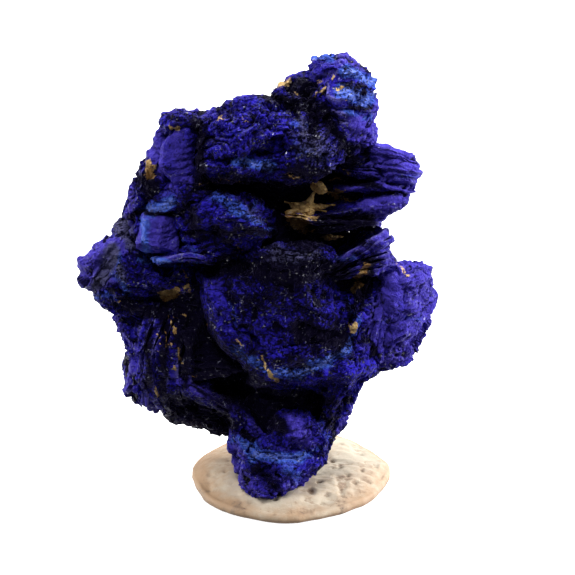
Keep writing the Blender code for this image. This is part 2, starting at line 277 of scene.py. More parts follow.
def stackSkin(look):
    # Plates piled through an ellipsoid, as one closed skin on a grid of headings and heights. The
    # half width at a plate's height is (1 - |t|^p)^(1/p), times a polygon that neighbouring plates
    # share, times one plus a little noise; between two plates the skin goes in to a crack. A spread
    # turns each height into an angle about the hinge, and the sway bends the whole.
    chance = np.random.default_rng(look["seed"])
    salt = look["seed"] * 31
    count = look["layers"]
    along, across, through = look["radii"]
    centre = np.array(look["centre"], float)
    axes = rowsOf(look["normal"], look["along"])

    columns = int(tau * math.sqrt((along**2 + across**2) / 2) / look["step"])
    headings = outerHeadings(columns, axes, centre)
    circle = np.stack([np.cos(headings), np.sin(headings)], -1)
    boxy = (np.abs(circle) ** look["squareness"]).sum(-1) ** (-1 / look["squareness"])
    ways = circle * (along, across) * boxy[:, None]
    lengths = np.linalg.norm(ways, axis=1)
    ways /= lengths[:, None]

    # heights between the plates, and which book of plates each belongs to
    thick = chance.uniform(0.55, 1.5, count)
    edges = np.concatenate([[0], np.cumsum(thick)]) / thick.sum() * 2 - 1
    middles = (edges[1:] + edges[:-1]) / 2
    book = np.cumsum(chance.random(count) < look["newBook"])

    def ringNoise(rows, size, jump, shift):
        # noise round the ring for each row, rows this much apart
        grid = np.empty((len(rows), columns, 3))
        grid[..., :2] = circle * lengths.mean()
        grid[..., 2] = np.asarray(rows)[:, None] * jump
        return bumps(grid, size, salt + shift)

    waver = look["waver"] * thick.min() / thick.sum() * 2 * through
    levels = edges[:, None] * through + waver * ringNoise(np.arange(count + 1), 1.6, 0.9, 1)
    levels = levels + look["wave"] * ringNoise(np.arange(count + 1), 2.6, 0.25, 8)
    gap = look["gap"] * np.diff(edges).min() * through

    shapes = [polygon(chance, headings, look["sides"], 0.09) for _ in range(book.max() + 1)]
    widths = (1 - np.abs(middles) ** look["roundness"]) ** (1 / look["roundness"])
    reach = widths[:, None] * np.array([shapes[b] for b in book])
    reach *= 1 + chance.normal(0, look["ledge"], book.max() + 1)[book][:, None].clip(-0.14, 0.1)
    reach *= 1 + chance.normal(0, look["ledge"] * 0.35, count)[:, None]
    reach *= 1 + 1.1 * look["ledge"] * ringNoise(np.arange(count), 2.2, 0.9, 9)
    reach *= 1 + look["jag"] * ringNoise(np.arange(count), 0.5, 0.8, 2)
    reach *= 1 - look["chip"] * ease(0.15, 0.3, ringNoise(book + 0.3 * np.arange(count), 1.3, 1.1, 3))
    outline = np.empty((count, columns, 3))
    outline[..., :2] = ways * (reach * lengths)[..., None]
    outline[..., 2] = middles[:, None] * through
    reach *= 1 + look["swell"] * fractal(centre + outline @ axes, 3.0, 2, salt + 5)
    reach = reach * lengths  # now in mm

    slips = chance.normal(0, look["slip"], (book.max() + 1, 2))[book] * (along, across)
    tilts = chance.normal(0, look["tilt"], (book.max() + 1, 2))[book]
    shade = chance.random(count)
    inner = np.minimum(np.vstack([reach[:1], reach]), np.vstack([reach, reach[-1:]]))
    depth = look["groove"] * (0.95 + 1.1 * ringNoise(np.arange(count + 1), 1.7, 0.9, 4)).clip(0.06)
    inner = np.maximum(inner - depth, 0.3 * inner)

    rings = []

    def ring(number, height, edge, crack=0, rim=0):
        # one ring of points: its height, its reach, and what its plate and its place on it give
        rings.append((height, edge, slips[number], tilts[number], crack, rim, shade[number]))

    def cap(level, edge, number, rising):
        # rings over an end plate, from near its middle to its edge or back, with stepped relief
        shares = np.linspace(0.04, 0.94, max(4, int(edge.mean() / (look["step"] * look["capStep"]))))
        for share in shares[::-1] if rising else shares:
            spot = np.concatenate([ways * (edge * share)[:, None], np.full((columns, 1), number)], 1)
            swing = 2.6 * bumps(spot, 2.4, salt + 21) + 0.8 * bumps(spot, 0.9, salt + 22)
            stepped = (np.floor(swing) + ease(0.6, 1.0, swing % 1)) / 2.6
            height = level * share + level.mean() * (1 - share)
            height = height + look["terrace"] * stepped * ease(1.0, 0.7, share) * (1 if rising else -1)
            ring(number, height, edge * share)

    bevel = look["bevel"]
    cap(levels[0] + gap, reach[0] - bevel, 0, False)
    for number in range(count):
        low, high, out = levels[number] + gap, levels[number + 1] - gap, reach[number]
        upper = middles[number] > 0
        sill = look["shelf"] if look["bothShelves"] or not upper else 0
        shelf = look["shelf"] if look["bothShelves"] or upper else 0
        if number:
            ring(number, levels[number], inner[number], 1)
        for share in np.arange(1, sill + 1) / (sill + 1):
            ring(number, low, inner[number] + (out - bevel - inner[number]) * share, (1 - share) * 0.8)
        # the plate's edge: how far up it, how many bevels in, and how bright the rim is, worn and partly
        # a painted highlight
        for rise, back, rim in ((0, 1, 0.7), (0.4, 0, 0.25), (0.8, 0.15, 0.6), (1, 1, 1)):
            ring(number, low * (1 - rise) + high * rise, out - back * bevel, 0, rim)
        for share in np.arange(1, shelf + 1) / (shelf + 1):
            ring(number, high, out - bevel + (inner[number + 1] - out + bevel) * share, share * 0.8)
    cap(levels[-1] - gap, reach[-1] - bevel, count - 1, True)

    heights = np.array([np.broadcast_to(r[0], columns) for r in rings])
    reaches = np.array([r[1] for r in rings])
    slip, tilt = np.array([r[2] for r in rings]), np.array([r[3] for r in rings])
    flat = ways * reaches[..., None]
    lift = (flat * tilt[:, None]).sum(-1)
    x, y = flat[..., 0] + slip[:, :1], flat[..., 1] + slip[:, 1:]
    share = heights / through
    lift = lift + look["bowl"] * ((x / along) ** 2 + (y / across) ** 2)
    if look["spread"]:
        angle = share * math.radians(look["spread"]) / 2
        far = x + along
        x = far * np.cos(angle) - along - lift * np.sin(angle)
        z = far * np.sin(angle) + lift * np.cos(angle)
    else:
        z = heights + lift
    points = centre + np.stack([x, y, z], -1) @ axes + share[..., None] * np.array(look["lean"]) / 2
    points = drifted(swayed(points), 1.6, 0.25, salts["drift"])

    normals = gridNormals(points, points.mean((0, 1)))
    relief = look["grain"] * fractal(points, look["grainSize"], 2, salt + 7)
    relief += look["rough"] * fractal(points, look["roughSize"], 4, salts["rough"])
    points = points + normals * relief[..., None]

    wear = np.ones((*heights.shape, 4))
    # the rings give painted shade in the cracks between plates, paler rims that are worn and partly a
    # painted highlight, and each plate's own tone
    wear[..., :3] = np.array([r[4:] for r in rings])[:, None]
    return gridSkin(points, wear, look)


# what a lobe of grown-together crystals is like, where its own values say nothing else
plainRock = {
    "turn": 0,  # degrees that its length rises to the right, as it is seen
    "square": 2.2,  # superellipsoid exponent, from round to boxy
    "facets": 12,
    "cut": 0.24,  # how deep the broken faces cut in at most, as a share of the radius
    "sharp": 20,
    "warp": 0.45,  # mm that the whole lobe is bent out of true
    "strike": 0,  # degrees that its layers rise to the right
    "tip": 25,  # degrees that the faces of its layers lean to the viewer
    "layer": 0.8,  # mm between layers
    "run": 3.2,  # mm along them before they change
    "levels": 2.2,  # ledges for one swing of the layer noise
    "ledge": 0.12,
    "crack": 0.12,
    "crackWidth": 0.10,
    "rimWidth": 0.12,
    "rough": 0.3,
    "roughSize": 1.7,
    "knob": 0.09,
    "knobSize": 0.40,
    "crumb": 0.07,
    "stripe": 0.14,  # mm of fine ridges along the layers
    "shard": 0.22,  # mm that the broken faces stand above and below each other
    "shardSize": 1.25,
    "chip": 0.25,  # the same for smaller faces on them, as a share of shard
    "chipCount": 2.3,  # how many of those there are along a broken face
    "flat": 0.62,  # how thick a broken face is for its length along the layers
    "fillet": 0.3,  # mm that a lobe swells where it meets another one of its piece
    "filletWidth": 0.9,
    "pit": 0.2,
    "pitSize": 0.9,
    "step": 0.15,
    "dust": 0.0,
    "green": 0.0,
    "violet": 0.15,
    # how much painted shade darkens the lobe
    "dark": 0.0,
    "clay": 0.0,
}


def lobe(seed, at, size, *shared, **own):
    # at is where it shows on the front and its depth; size is half its width, height and depth
    return settled(plainRock, {"seed": seed, "at": at, "size": size}, *shared, own)


def lobeFrame(look):
    # a lobe's centre, half sizes and axes: its length, its depth and its height
    turn = math.radians(look["turn"])
    axes = np.array([
        seenWay(math.cos(turn), math.sin(turn), 0),
        seenWay(0, 0, -1),
        seenWay(-math.sin(turn), math.cos(turn), 0),
    ])
    return seenAt(*look["at"]), np.array(look["size"])[[0, 2, 1]], axes


def lobeDistance(points, look):
    # mm from the surface of a lobe's plain superellipsoid, less than 0 inside it
    centre, size, axes = lobeFrame(look)
    ray = (points - centre) @ axes.T / size
    reach = (np.abs(ray) ** look["square"]).sum(-1) ** (1 / look["square"])
    return (reach - 1) * np.linalg.norm(points - centre, axis=-1) / reach.clip(0.1)


def rockSkin(look, others=()):
    # An ellipsoid, 1 / (|x|^q + |y|^q + |z|^q)^(1/q), cut by uneven planes and bent by noise. It
    # swells where it meets the other lobes. Its surface is then raised by ledges, which are the
    # steps of a noise stretched along the layers, and by broken faces, fine ridges and grains, and
    # is lowered by pits and by the cracks at the ledges' feet.
    chance = np.random.default_rng(look["seed"])
    salt = look["seed"] * 31
    centre, size, axes = lobeFrame(look)
    columns = int(tau * math.sqrt((size[0] ** 2 + size[1] ** 2) / 2) / look["step"])
    rows = int(math.pi * (size[2] + size[:2].max()) / 2 / look["step"])
    headings = outerHeadings(columns, axes, centre)
    rises = math.pi * (np.arange(rows) + 0.6) / (rows + 0.2)
    ray = np.empty((rows, columns, 3))
    ray[..., 0] = np.sin(rises)[:, None] * np.cos(headings)
    ray[..., 1] = np.sin(rises)[:, None] * np.sin(headings)
    ray[..., 2] = -np.cos(rises)[:, None]

    planes = unit(chance.normal(size=(look["facets"], 3)))
    away = 1 - look["cut"] * chance.random(look["facets"])
    hits = np.clip(ray @ planes.T / away, 0, None)
    boxy = (np.abs(ray) ** look["square"]).sum(-1) ** (1 / look["square"])
    reach = (boxy ** look["sharp"] + (hits ** look["sharp"]).sum(-1)) ** (-1 / look["sharp"])
    points = centre + (ray * reach[..., None] * size) @ axes
    points = drifted(points, 3.4, look["warp"], salts["warp"])
    points = drifted(points, 1.1, look["warp"] * 0.3, salts["buckle"])
    normals = gridNormals(points, points.mean((0, 1)))

    strike, tip = math.radians(look["strike"]), math.radians(look["tip"])
    layerUp = seenWay(-math.sin(strike) * math.cos(tip), math.cos(strike) * math.cos(tip), math.sin(tip))
    layers = rowsOf(layerUp, seenWay(math.cos(strike), math.sin(strike), 0))
    spot = drifted(points, 1.6, 0.3, salts["drift"]) @ layers.T
    spot = spot / [look["run"], look["run"], look["layer"]]
    for other in others:
        if other is not look:
            near = lobeDistance(points, other)
            swell = np.exp(-((near / look["filletWidth"]) ** 2)) * ease(-0.6, 0.0, near)
            points = points + normals * (look["fillet"] * swell)[..., None]
    broken = look["shardSize"] * np.array([1, 1, look["flat"]])
    slabSpot = drifted(points, 1.0, 0.22, salts["slab"]) @ layers.T / broken
    chipSpot = drifted(points, 0.5, 0.08, salts["chip"]) @ layers.T / broken * look["chipCount"]
    slab, slabShade, border = shards(slabSpot, salt + 60)
    chip, chipShade = shards(chipSpot, salt + 64)[:2]
    level = (bumps(spot, 1, salt + 1) + 0.55 * bumps(spot, 0.5, salt + 2)) * look["levels"]
    part = level % 1
    steep = steepness(level, points)
    crack = np.exp(-(((part - 0.7) / steep / look["crackWidth"]) ** 2))
    crack = crack * ease(-0.3, 0.3, bumps(points, 2.4, salt + 3))
    rim = np.exp(-((((part + 0.5) % 1 - 0.5) / steep / look["rimWidth"]) ** 2))
    stripe = bumps(spot * [0.4, 0.4, 1], 0.32, salt + 6)
    cells = grains(points, look["knobSize"], salt + 13)
    pitSpot = drifted(points, 0.8, 0.2, salts["pit"])
    holes = ease(0.38, 0.62, bumps(pitSpot, look["pitSize"], salt + 17))
    relief = look["ledge"] * (np.floor(level) + ease(0.7, 0.92, part)) - look["crack"] * crack
    relief += look["rough"] * fractal(points, look["roughSize"], 5, salts["rough"])
    relief += look["shard"] * (slab + look["chip"] * chip) + look["stripe"] * (stripe - 0.5)
    relief += look["knob"] * (0.55 - cells) * 2
    relief += look["crumb"] * fractal(points, 0.5, 2, salts["crumb"]) - look["pit"] * holes
    points = points + normals * relief[..., None]
    points[..., 2] = points[..., 2].clip(footLevel)

    wear = np.empty((rows, columns, 4))
    # the first channel is painted shade: cracks, pits, gaps round grains and the borders of broken faces
    # darkened
    cleft = ease(0.16, 0.04, border) * ease(0.35, 0.65, slabShade)
    wear[..., 0] = np.max([
        crack * ease(0, 0.12, look["crack"]),
        holes * ease(0, 0.2, look["pit"]),
        ease(0.6, 0.95, cells) * ease(0, 0.12, look["knob"]) * 0.8,
        cleft * ease(0, 0.2, look["shard"]) * 0.9,
    ], 0)
    # the second channel is a paler rim on each ledge's upper edge, worn and partly a painted highlight
    wear[..., 1] = 0.5 * rim * ease(0, 0.1, look["ledge"])
    wear[..., 2] = 0.5 * stripe + 0.1 + 0.15 * bumps(spot, 0.8, salt + 5)
    wear[..., 2] += 0.25 * slabShade + 0.15 * chipShade
    return gridSkin(points, wear, look)


# streaks of colour on the front as it is seen: right and up of both ends, half width, strength
# azure dust, partly a painted highlight where ledges and tops catch the light
azurePlaces = [
    (4.1, 30.8, 5.7, 30.4, 0.5, 1.2), (3.9, 29.4, 5.5, 28.9, 0.5, 1.3), (4.5, 27.9, 6.1, 27.6, 0.35, 0.6),
    (1.6, 32.2, 3.1, 31.9, 0.5, 0.7), (-3.8, 24.4, -1.5, 24.1, 0.5, 1),
    (-4.6, 26.1, -2.1, 27.1, 0.6, 0.4), (0, 27, 1.6, 27.1, 0.5, 0.5), (0.6, 25.3, 2.1, 24.9, 0.9, 0.5),
    (-10.3, 20.7, -8.5, 21.5, 0.5, 1), (-10.7, 19.8, -10.6, 17.6, 0.45, 0.85),
    (-11, 17.4, -9.2, 17, 0.3, 1), (-9.2, 17, -5.7, 16.8, 0.22, 0.9), (-13, 17.6, -12.1, 14.8, 0.5, 0.8),
    (-13.9, 17.1, -13, 15.8, 0.4, 0.5), (-14.4, 14.5, -12.6, 14.2, 0.35, 0.6),
    (-4.1, 10.8, -2.1, 9.2, 0.5, 0.75), (-2.1, 9.2, 0.8, 8.8, 0.45, 0.9),
    (0.8, 8.8, 4.1, 10.5, 0.5, 0.95), (4.1, 10.5, 5, 12.6, 0.35, 0.85), (4.6, 13, 4.1, 14.4, 0.3, 0.7),
    (-4.6, 14.4, -3.8, 11.7, 0.45, 0.5), (-2.1, 14.8, -0.4, 14.4, 0.5, 0.5),
    (-2.6, 17.1, 0.1, 17.4, 0.35, 0.45), (0.8, 17.6, 4.6, 17.1, 0.45, 0.55),
    (-3.8, 3.9, -2.5, 2.5, 0.5, 0.85), (-2.5, 2.5, 0.8, 2.3, 0.4, 0.95), (0.8, 2.3, 2.4, 3.2, 0.35, 0.6),
    (-0.4, 1.5, 0.8, 0.8, 0.5, 0.4), (2.1, 5.2, 3, 3.8, 0.4, 0.5), (-2.6, 18.9, -0.4, 20.1, 0.2, 0.7),
    (-5.5, 21.7, -2.1, 19.9, 0.6, 0.6), (-4.3, 20.8, -1.6, 21.3, 0.3, 0.5),
    (-7.8, 18.3, -6.8, 17.8, 0.4, 0.5), (7.9, 23.2, 9.2, 23.4, 0.5, 0.5), (7.1, 12.8, 9.8, 13, 0.4, 0.5),
    (-7, 27.9, -6, 28.2, 0.3, 0.4), (-2.1, 28.6, -0.6, 27.9, 0.5, 0.4),
]
mossPlaces = [
    (1.7, 25.3, 1.7, 25.3, 1.6, 0.5), (0.8, 27.1, 1.1, 26.2, 0.5, 0.5),
    (-13.3, 17.8, -13.7, 16.8, 0.5, 0.7), (-13.9, 16.2, -14.4, 15.4, 0.5, 0.6),
    (-12.6, 16.8, -12.3, 16.1, 0.4, 0.6), (-12.3, 19.9, -11.8, 18.9, 0.8, 0.7),
    (-1.1, 17.6, 1.6, 17.4, 0.8, 0.6), (0.2, 29.4, 0.8, 28.8, 0.7, 0.6),
    (-2.9, 20.8, -2.1, 20.1, 0.7, 0.5), (-2.1, 28.9, -0.8, 28.6, 0.5, 0.5),
    (3, 23.8, 4.1, 24.1, 0.5, 0.4),
]
earthPlaces = [
    (-9.4, 14.5, -8.4, 15, 0.35, 1), (-7.8, 15.3, -7.5, 14.8, 0.2, 0.7),
    (-10.4, 24.4, -10.3, 23.4, 0.3, 1), (-8.8, 26.9, -8.2, 26.9, 0.2, 0.9),
    (5.2, 16.1, 5.5, 16.8, 0.35, 0.9), (4.6, 15.1, 5.1, 15.6, 0.3, 0.9), (4.5, 12.3, 4.6, 12.2, 0.3, 1),
    (-1.6, 9.3, -0.8, 8.2, 0.25, 0.9), (-2.1, 10, -1.5, 9.3, 0.15, 0.7),
    (-3.5, 27.6, -3.3, 27.4, 0.3, 0.6), (-5.1, 27.6, -5, 27.4, 0.25, 0.6),
    (2.4, 29.4, 2.6, 29.8, 0.2, 0.8), (3, 30.3, 3.1, 30.5, 0.2, 0.7), (2, 30, 2.2, 30.3, 0.15, 0.6),
    (3.3, 29.5, 3.9, 29.7, 0.12, 0.7), (1.9, 28.9, 2.1, 29.3, 0.15, 0.6),
    (-0.9, 30, -0.7, 30.1, 0.2, 0.8), (-0.4, 30.1, -0.1, 30.4, 0.2, 0.8),
    (0.1, 29.5, 0.3, 29.2, 0.12, 0.7), (8.4, 15.9, 8.7, 16.5, 0.2, 0.6),
    (-13, 14.1, -12.9, 14.2, 0.2, 0.5), (-8.8, 12.8, -8.6, 10.8, 0.1, 0.95),
    (-8.2, 10.7, -7.9, 9.6, 0.1, 0.9), (-8.5, 9.4, -8.5, 8.5, 0.09, 0.9), (-9, 13, -7.7, 13.1, 0.09, 0.9),
    (-9.3, 11.8, -9.2, 10.7, 0.08, 0.8), (-7.8, 16.6, -7.6, 15.1, 0.09, 0.8),
    (-9.9, 11.6, -9.8, 11, 0.09, 0.8), (-9.8, 10.5, -9.9, 9.9, 0.08, 0.8),
    (-7.5, 8.8, -6.8, 8.5, 0.08, 0.6), (-6.6, 12.3, -6.1, 12.7, 0.1, 0.85),
    (-5.4, 12, -5, 12.3, 0.1, 0.85), (-3.9, 11.2, -3.5, 10.8, 0.13, 0.7), (-10, 7.8, -9.9, 7, 0.2, 0.7),
    (2.1, 22.3, 4.8, 21.7, 0.14, 0.7), (3.8, 24.1, 4.6, 23.4, 0.14, 0.6),
    (-7, 22.8, -3.8, 22.7, 0.15, 0.5), (7.9, 17.1, 8.4, 16.6, 0.15, 0.6),
    (4.1, 18.4, 6.1, 19.3, 0.12, 0.5), (3.6, 28.6, 4.5, 28.8, 0.15, 0.6),
    (-3.8, 18.3, -3.3, 17.7, 0.2, 0.5), (0, 20.3, 1.2, 19.6, 0.55, 0.8),
    (0.4, 20.4, 1.9, 20.3, 0.18, 0.8), (2.8, 23, 3.8, 23.1, 0.2, 0.7), (2.9, 22.3, 4, 22.2, 0.12, 0.9),
    (2.9, 21.9, 4.1, 21.6, 0.1, 0.9), (-10.5, 23.6, -10, 24.1, 0.2, 0.9),
    (-0.3, 23.6, 0.8, 23.2, 0.15, 0.5), (-2.1, 22.5, -1.1, 22.8, 0.15, 0.5),
    (-8.2, 21, -7.8, 20.8, 0.15, 0.4),
]
# lilac tone, partly a painted sheen on faces that catch the light
lilacPlaces = [
    (-9.5, 26.6, -9.7, 23.4, 0.3, 1), (-8.5, 26.2, -7.8, 23.1, 0.8, 0.3),
    (-9.4, 28.1, -8.8, 28.3, 0.3, 0.8), (-7.3, 28.3, -6, 28.1, 0.4, 0.5),
    (-11.7, 22.5, -11.8, 20.1, 0.3, 0.9), (-10.3, 19.5, -9.2, 18, 0.9, 0.7),
    (6.5, 28.9, 6.5, 26.1, 0.4, 0.9), (5.2, 27.1, 6.1, 26.1, 0.8, 0.8), (4.6, 22.1, 8.5, 22.5, 0.5, 0.8),
    (5.8, 20.1, 7.2, 18.9, 0.5, 0.7), (3, 32.1, 5, 31.9, 0.5, 0.6), (6.1, 25.5, 9.3, 23.7, 1.5, 1),
    (8.5, 23.1, 8.4, 21.1, 0.9, 0.9), (6.1, 20.8, 7.9, 20.6, 0.6, 0.8), (8.2, 17.1, 10.8, 14.8, 1.4, 0.9),
    (10.9, 14.5, 9.6, 11.2, 0.8, 0.9), (6.8, 14.2, 6.1, 11.2, 1, 0.6), (9.2, 10.5, 7.1, 9.6, 0.5, 0.7),
    (-5.7, 16.5, -4.8, 12, 1.2, 0.3), (-14.4, 17.6, -13.3, 18.1, 0.6, 0.8),
    (-14.2, 16.5, -13.9, 15.3, 0.4, 0.7), (0, 5.2, 0.9, 3.9, 0.9, 0.7),
    (-15.3, 17.4, -15.1, 15.1, 0.5, 0.8), (-13.2, 12.9, -11.5, 10.5, 0.3, 0.9),
    (-12, 9.4, -12.3, 7.2, 0.5, 0.9), (-11.2, 6.6, -9.8, 5.7, 0.3, 0.8), (-8.4, 8.5, -4.3, 6.5, 0.4, 0.8),
    (-4.3, 29.4, -2.1, 29.7, 0.4, 0.7), (-1.1, 30.4, 0.8, 31.3, 0.4, 0.7), (4.5, 6, 3.6, 4, 0.3, 0.7),
    (5.5, 7.6, 4.5, 6.1, 0.3, 0.7), (-4.3, 1.5, -3.3, 0.3, 0.4, 0.6), (3, 17.1, 7.2, 18.8, 0.15, 0.9),
    (3.4, 17.7, 7, 19.3, 0.12, 0.9), (3, 16.1, 5, 16.6, 0.15, 0.7), (4.5, 22.1, 8.1, 22.8, 0.2, 0.7),
    (4.1, 19.6, 5.1, 20.1, 0.14, 1), (5.1, 20.1, 5.5, 20.5, 0.14, 1), (1.6, 19.8, 3.8, 19.5, 0.12, 0.6),
    (-7.5, 7.9, -3.8, 6.6, 0.12, 0.7), (-6.8, 9.3, -3, 8.5, 0.1, 0.6), (-7, 10.9, -4, 10.3, 0.1, 0.5),
    (-5.8, 7.9, -2.1, 7, 0.1, 0.6), (7, 25.5, 9.2, 24.8, 0.3, 0.8), (7.3, 22.1, 9, 21.8, 0.4, 0.8),
]
shadowPlaces = [
    (-6.8, 22.8, -0.1, 22.3, 0.6, 0.85), (-0.1, 23.6, 3, 23.1, 0.5, 0.8),
    (-7.3, 19.1, -0.4, 19.2, 0.3, 0.8), (-0.4, 20.1, 1.5, 18.8, 1, 1), (-11.2, 20.6, -8.2, 20.5, 0.2, 1),
    (-6.7, 27.1, -6.3, 22.9, 0.4, 0.9), (-2.1, 29.2, 0.8, 28.3, 0.35, 0.8),
    (0.8, 30.1, 1.9, 27.1, 0.5, 0.8), (2.5, 27.8, 4.5, 24.6, 0.4, 0.9), (1.5, 26.6, 1.7, 26.2, 0.35, 1),
    (-5.7, 16.6, 3.8, 16.2, 0.8, 0.9), (-3, 13.9, 0.8, 15.3, 0.8, 0.4), (0.8, 12, 3.9, 11.5, 0.9, 0.9),
    (-4, 10.3, 0.8, 9.6, 0.5, 0.4), (-7, 12, -4.5, 7.3, 1.8, 1), (-8.6, 6.5, -4, 5.1, 0.8, 0.9),
    (-4.6, 9.9, -1.1, 7, 0.6, 0.9), (-3.8, 6.5, -0.9, 5, 0.8, 0.9), (1.8, 6.5, 2.7, 5, 0.3, 0.8),
    (-1.1, 6.9, 3, 6.8, 0.5, 0.7), (-12.6, 14, -9.3, 13.3, 0.6, 0.9), (-9.2, 12.9, -9.4, 7, 0.25, 0.8),
    (-10.5, 12, -10.7, 7.5, 0.2, 0.7), (-7.9, 12.8, -7.7, 7.8, 0.35, 0.9),
    (2.2, 23.4, 6.3, 22.6, 0.4, 0.9), (3.4, 22, 8.4, 22, 0.2, 0.8), (2.2, 20.1, 5.7, 20.1, 0.8, 1),
    (5.7, 17.1, 5.1, 14.7, 0.5, 1), (5.4, 11.5, 6.5, 10, 0.25, 0.8), (6.3, 16.1, 6.9, 14.1, 0.2, 0.7),
    (3, 18.9, 5.8, 18.3, 0.4, 0.7), (-10.5, 23.2, -10, 22.1, 0.6, 0.8),
    (-7.5, 21.4, -6.5, 18.8, 0.35, 0.7), (-0.4, 28.6, 0.4, 27.8, 0.4, 0.7),
    (4, 25.5, 5.7, 25.3, 0.4, 0.8), (-2.4, 1.5, -1.1, 0.3, 0.4, 0.6), (3, 6, 3.4, 3.8, 0.2, 0.6),
    (-4.9, 16.6, -4.3, 14.2, 0.4, 0.6), (4.1, 14.2, 4.5, 12.8, 0.3, 0.6),
    (6.1, 28.5, 4.5, 28.3, 0.2, 0.8), (5.7, 29.7, 3.8, 29.8, 0.2, 0.8),
]


markBend = 0.5  # mm that noise bends the streaks by
markDepth = 4.0  # how far along Y they have faded out
# which streaks are added to which plain value, in the order of the stain's four channels: dust that is
# partly a painted highlight, clay, violet that is partly a painted sheen, and painted shade in hollows,
# under ledges and behind parts
stainsAndShade = (("dust", azurePlaces), ("clay", earthPlaces), ("violet", lilacPlaces), ("dark", shadowPlaces))


def seenSpots(points):
    # right and up of each point as it is seen, bent by noise
    up = points[..., 2] * viewCos + points[..., 1] * viewSin
    right = points[..., 0] + markBend * fractal(points, 1.2, 3, salts["markAcross"])
    return np.stack([right, up + markBend * fractal(points, 1.2, 3, salts["markUp"])], -1)


def marked(spots, places):
    # strength * exp(-(distance / width)^2) from the line of the streak that counts most
    best = np.zeros(spots.shape[:-1])
    for right, up, farRight, farUp, width, strength in places:
        start, way = np.array([right, up]), np.array([farRight - right, farUp - up])
        share = ((spots - start) @ way / max(way @ way, 0.01)).clip(0, 1)
        away = ((spots - start - share[..., None] * way) ** 2).sum(-1)
        best = np.maximum(best, strength * np.exp(-away / width**2))
    return best


def gridSkin(points, wear, look):
    # closes the grid of rings with a pole at each end and says which corners make each face
    rows, columns = points.shape[:2]
    spots, front = seenSpots(points), ease(markDepth, 0.0, points[..., 1])
    stainAndShade = np.zeros((rows, columns, 4))
    for channel, (name, places) in enumerate(stainsAndShade):
        stainAndShade[..., channel] = np.clip(look[name] + marked(spots, places) * front, 0, 1)
    wear[..., 3] = np.clip(look["green"] + marked(spots, mossPlaces) * front, 0, 1)
    index = np.arange(rows * columns).reshape(rows, columns)
    after = np.roll(index, -1, 1)
    quads = np.stack([index[:-1], after[:-1], after[1:], index[1:]], -1).reshape(-1, 4)
    first, last = rows * columns, rows * columns + 1
    low = np.stack([after[0], index[0], np.full(columns, first)], -1)
    high = np.stack([index[-1], after[-1], np.full(columns, last)], -1)

    def withPoles(grid):
        return np.vstack([grid.reshape(-1, grid.shape[-1]), grid[0].mean(0), grid[-1].mean(0)])

    skin = {"points": withPoles(points), "wear": withPoles(wear), "stainAndShade": withPoles(stainAndShade)}
    # the skin's volume, from a triple product at each corner, is less than 0 where it is inside out
    if (np.cross(points[:-1], np.roll(points, -1, 1)[:-1]) * points[1:]).sum() < 0:
        quads, low, high = quads[:, ::-1], low[:, ::-1], high[:, ::-1]
    return {**skin, "quads": quads, "tris": np.vstack([low, high])}


def meshOf(name, skins):
    # joins the skins, quads before triangles, and keeps wear, stain and painted shade as colours on the
    # points
    shift = np.cumsum([0] + [len(skin["points"]) for skin in skins])
    points = np.vstack([skin["points"] for skin in skins]) * mm
    quads = np.vstack([skin["quads"] + s for skin, s in zip(skins, shift)])
    tris = np.vstack([skin["tris"] + s for skin, s in zip(skins, shift)])
    mesh = bpy.data.meshes.new(name)
    mesh.vertices.add(len(points))
    mesh.vertices.foreach_set("co", points.ravel())
    corners = np.concatenate([quads.ravel(), tris.ravel()]).astype(np.int32)
    starts = np.concatenate([np.arange(len(quads)) * 4, len(quads) * 4 + np.arange(len(tris)) * 3])
    mesh.loops.add(len(corners))
    mesh.loops.foreach_set("vertex_index", corners)
    mesh.polygons.add(len(starts))
    mesh.polygons.foreach_set("loop_start", starts.astype(np.int32))
    for layer in ("wear", "stainAndShade"):
        store = mesh.attributes.new(layer, "FLOAT_COLOR", "POINT")
        store.data.foreach_set("color", np.vstack([skin[layer] for skin in skins]).ravel())
    mesh.update(calc_edges=True)
    mesh.validate()
    return mesh


faceCount = {}


def place(name, skins, material, node):
    mesh = meshOf(name, skins)
    mesh.shade_flat()
    mesh.materials.append(material)
    piece = bpy.data.objects.new(name, mesh)
    bpy.context.scene.collection.objects.link(piece)
    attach(piece, "root")
    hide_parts(node)
    faceCount[name] = sum(2 * len(skin["quads"]) + len(skin["tris"]) for skin in skins)
    print("made", name, faceCount[name])
    return piece


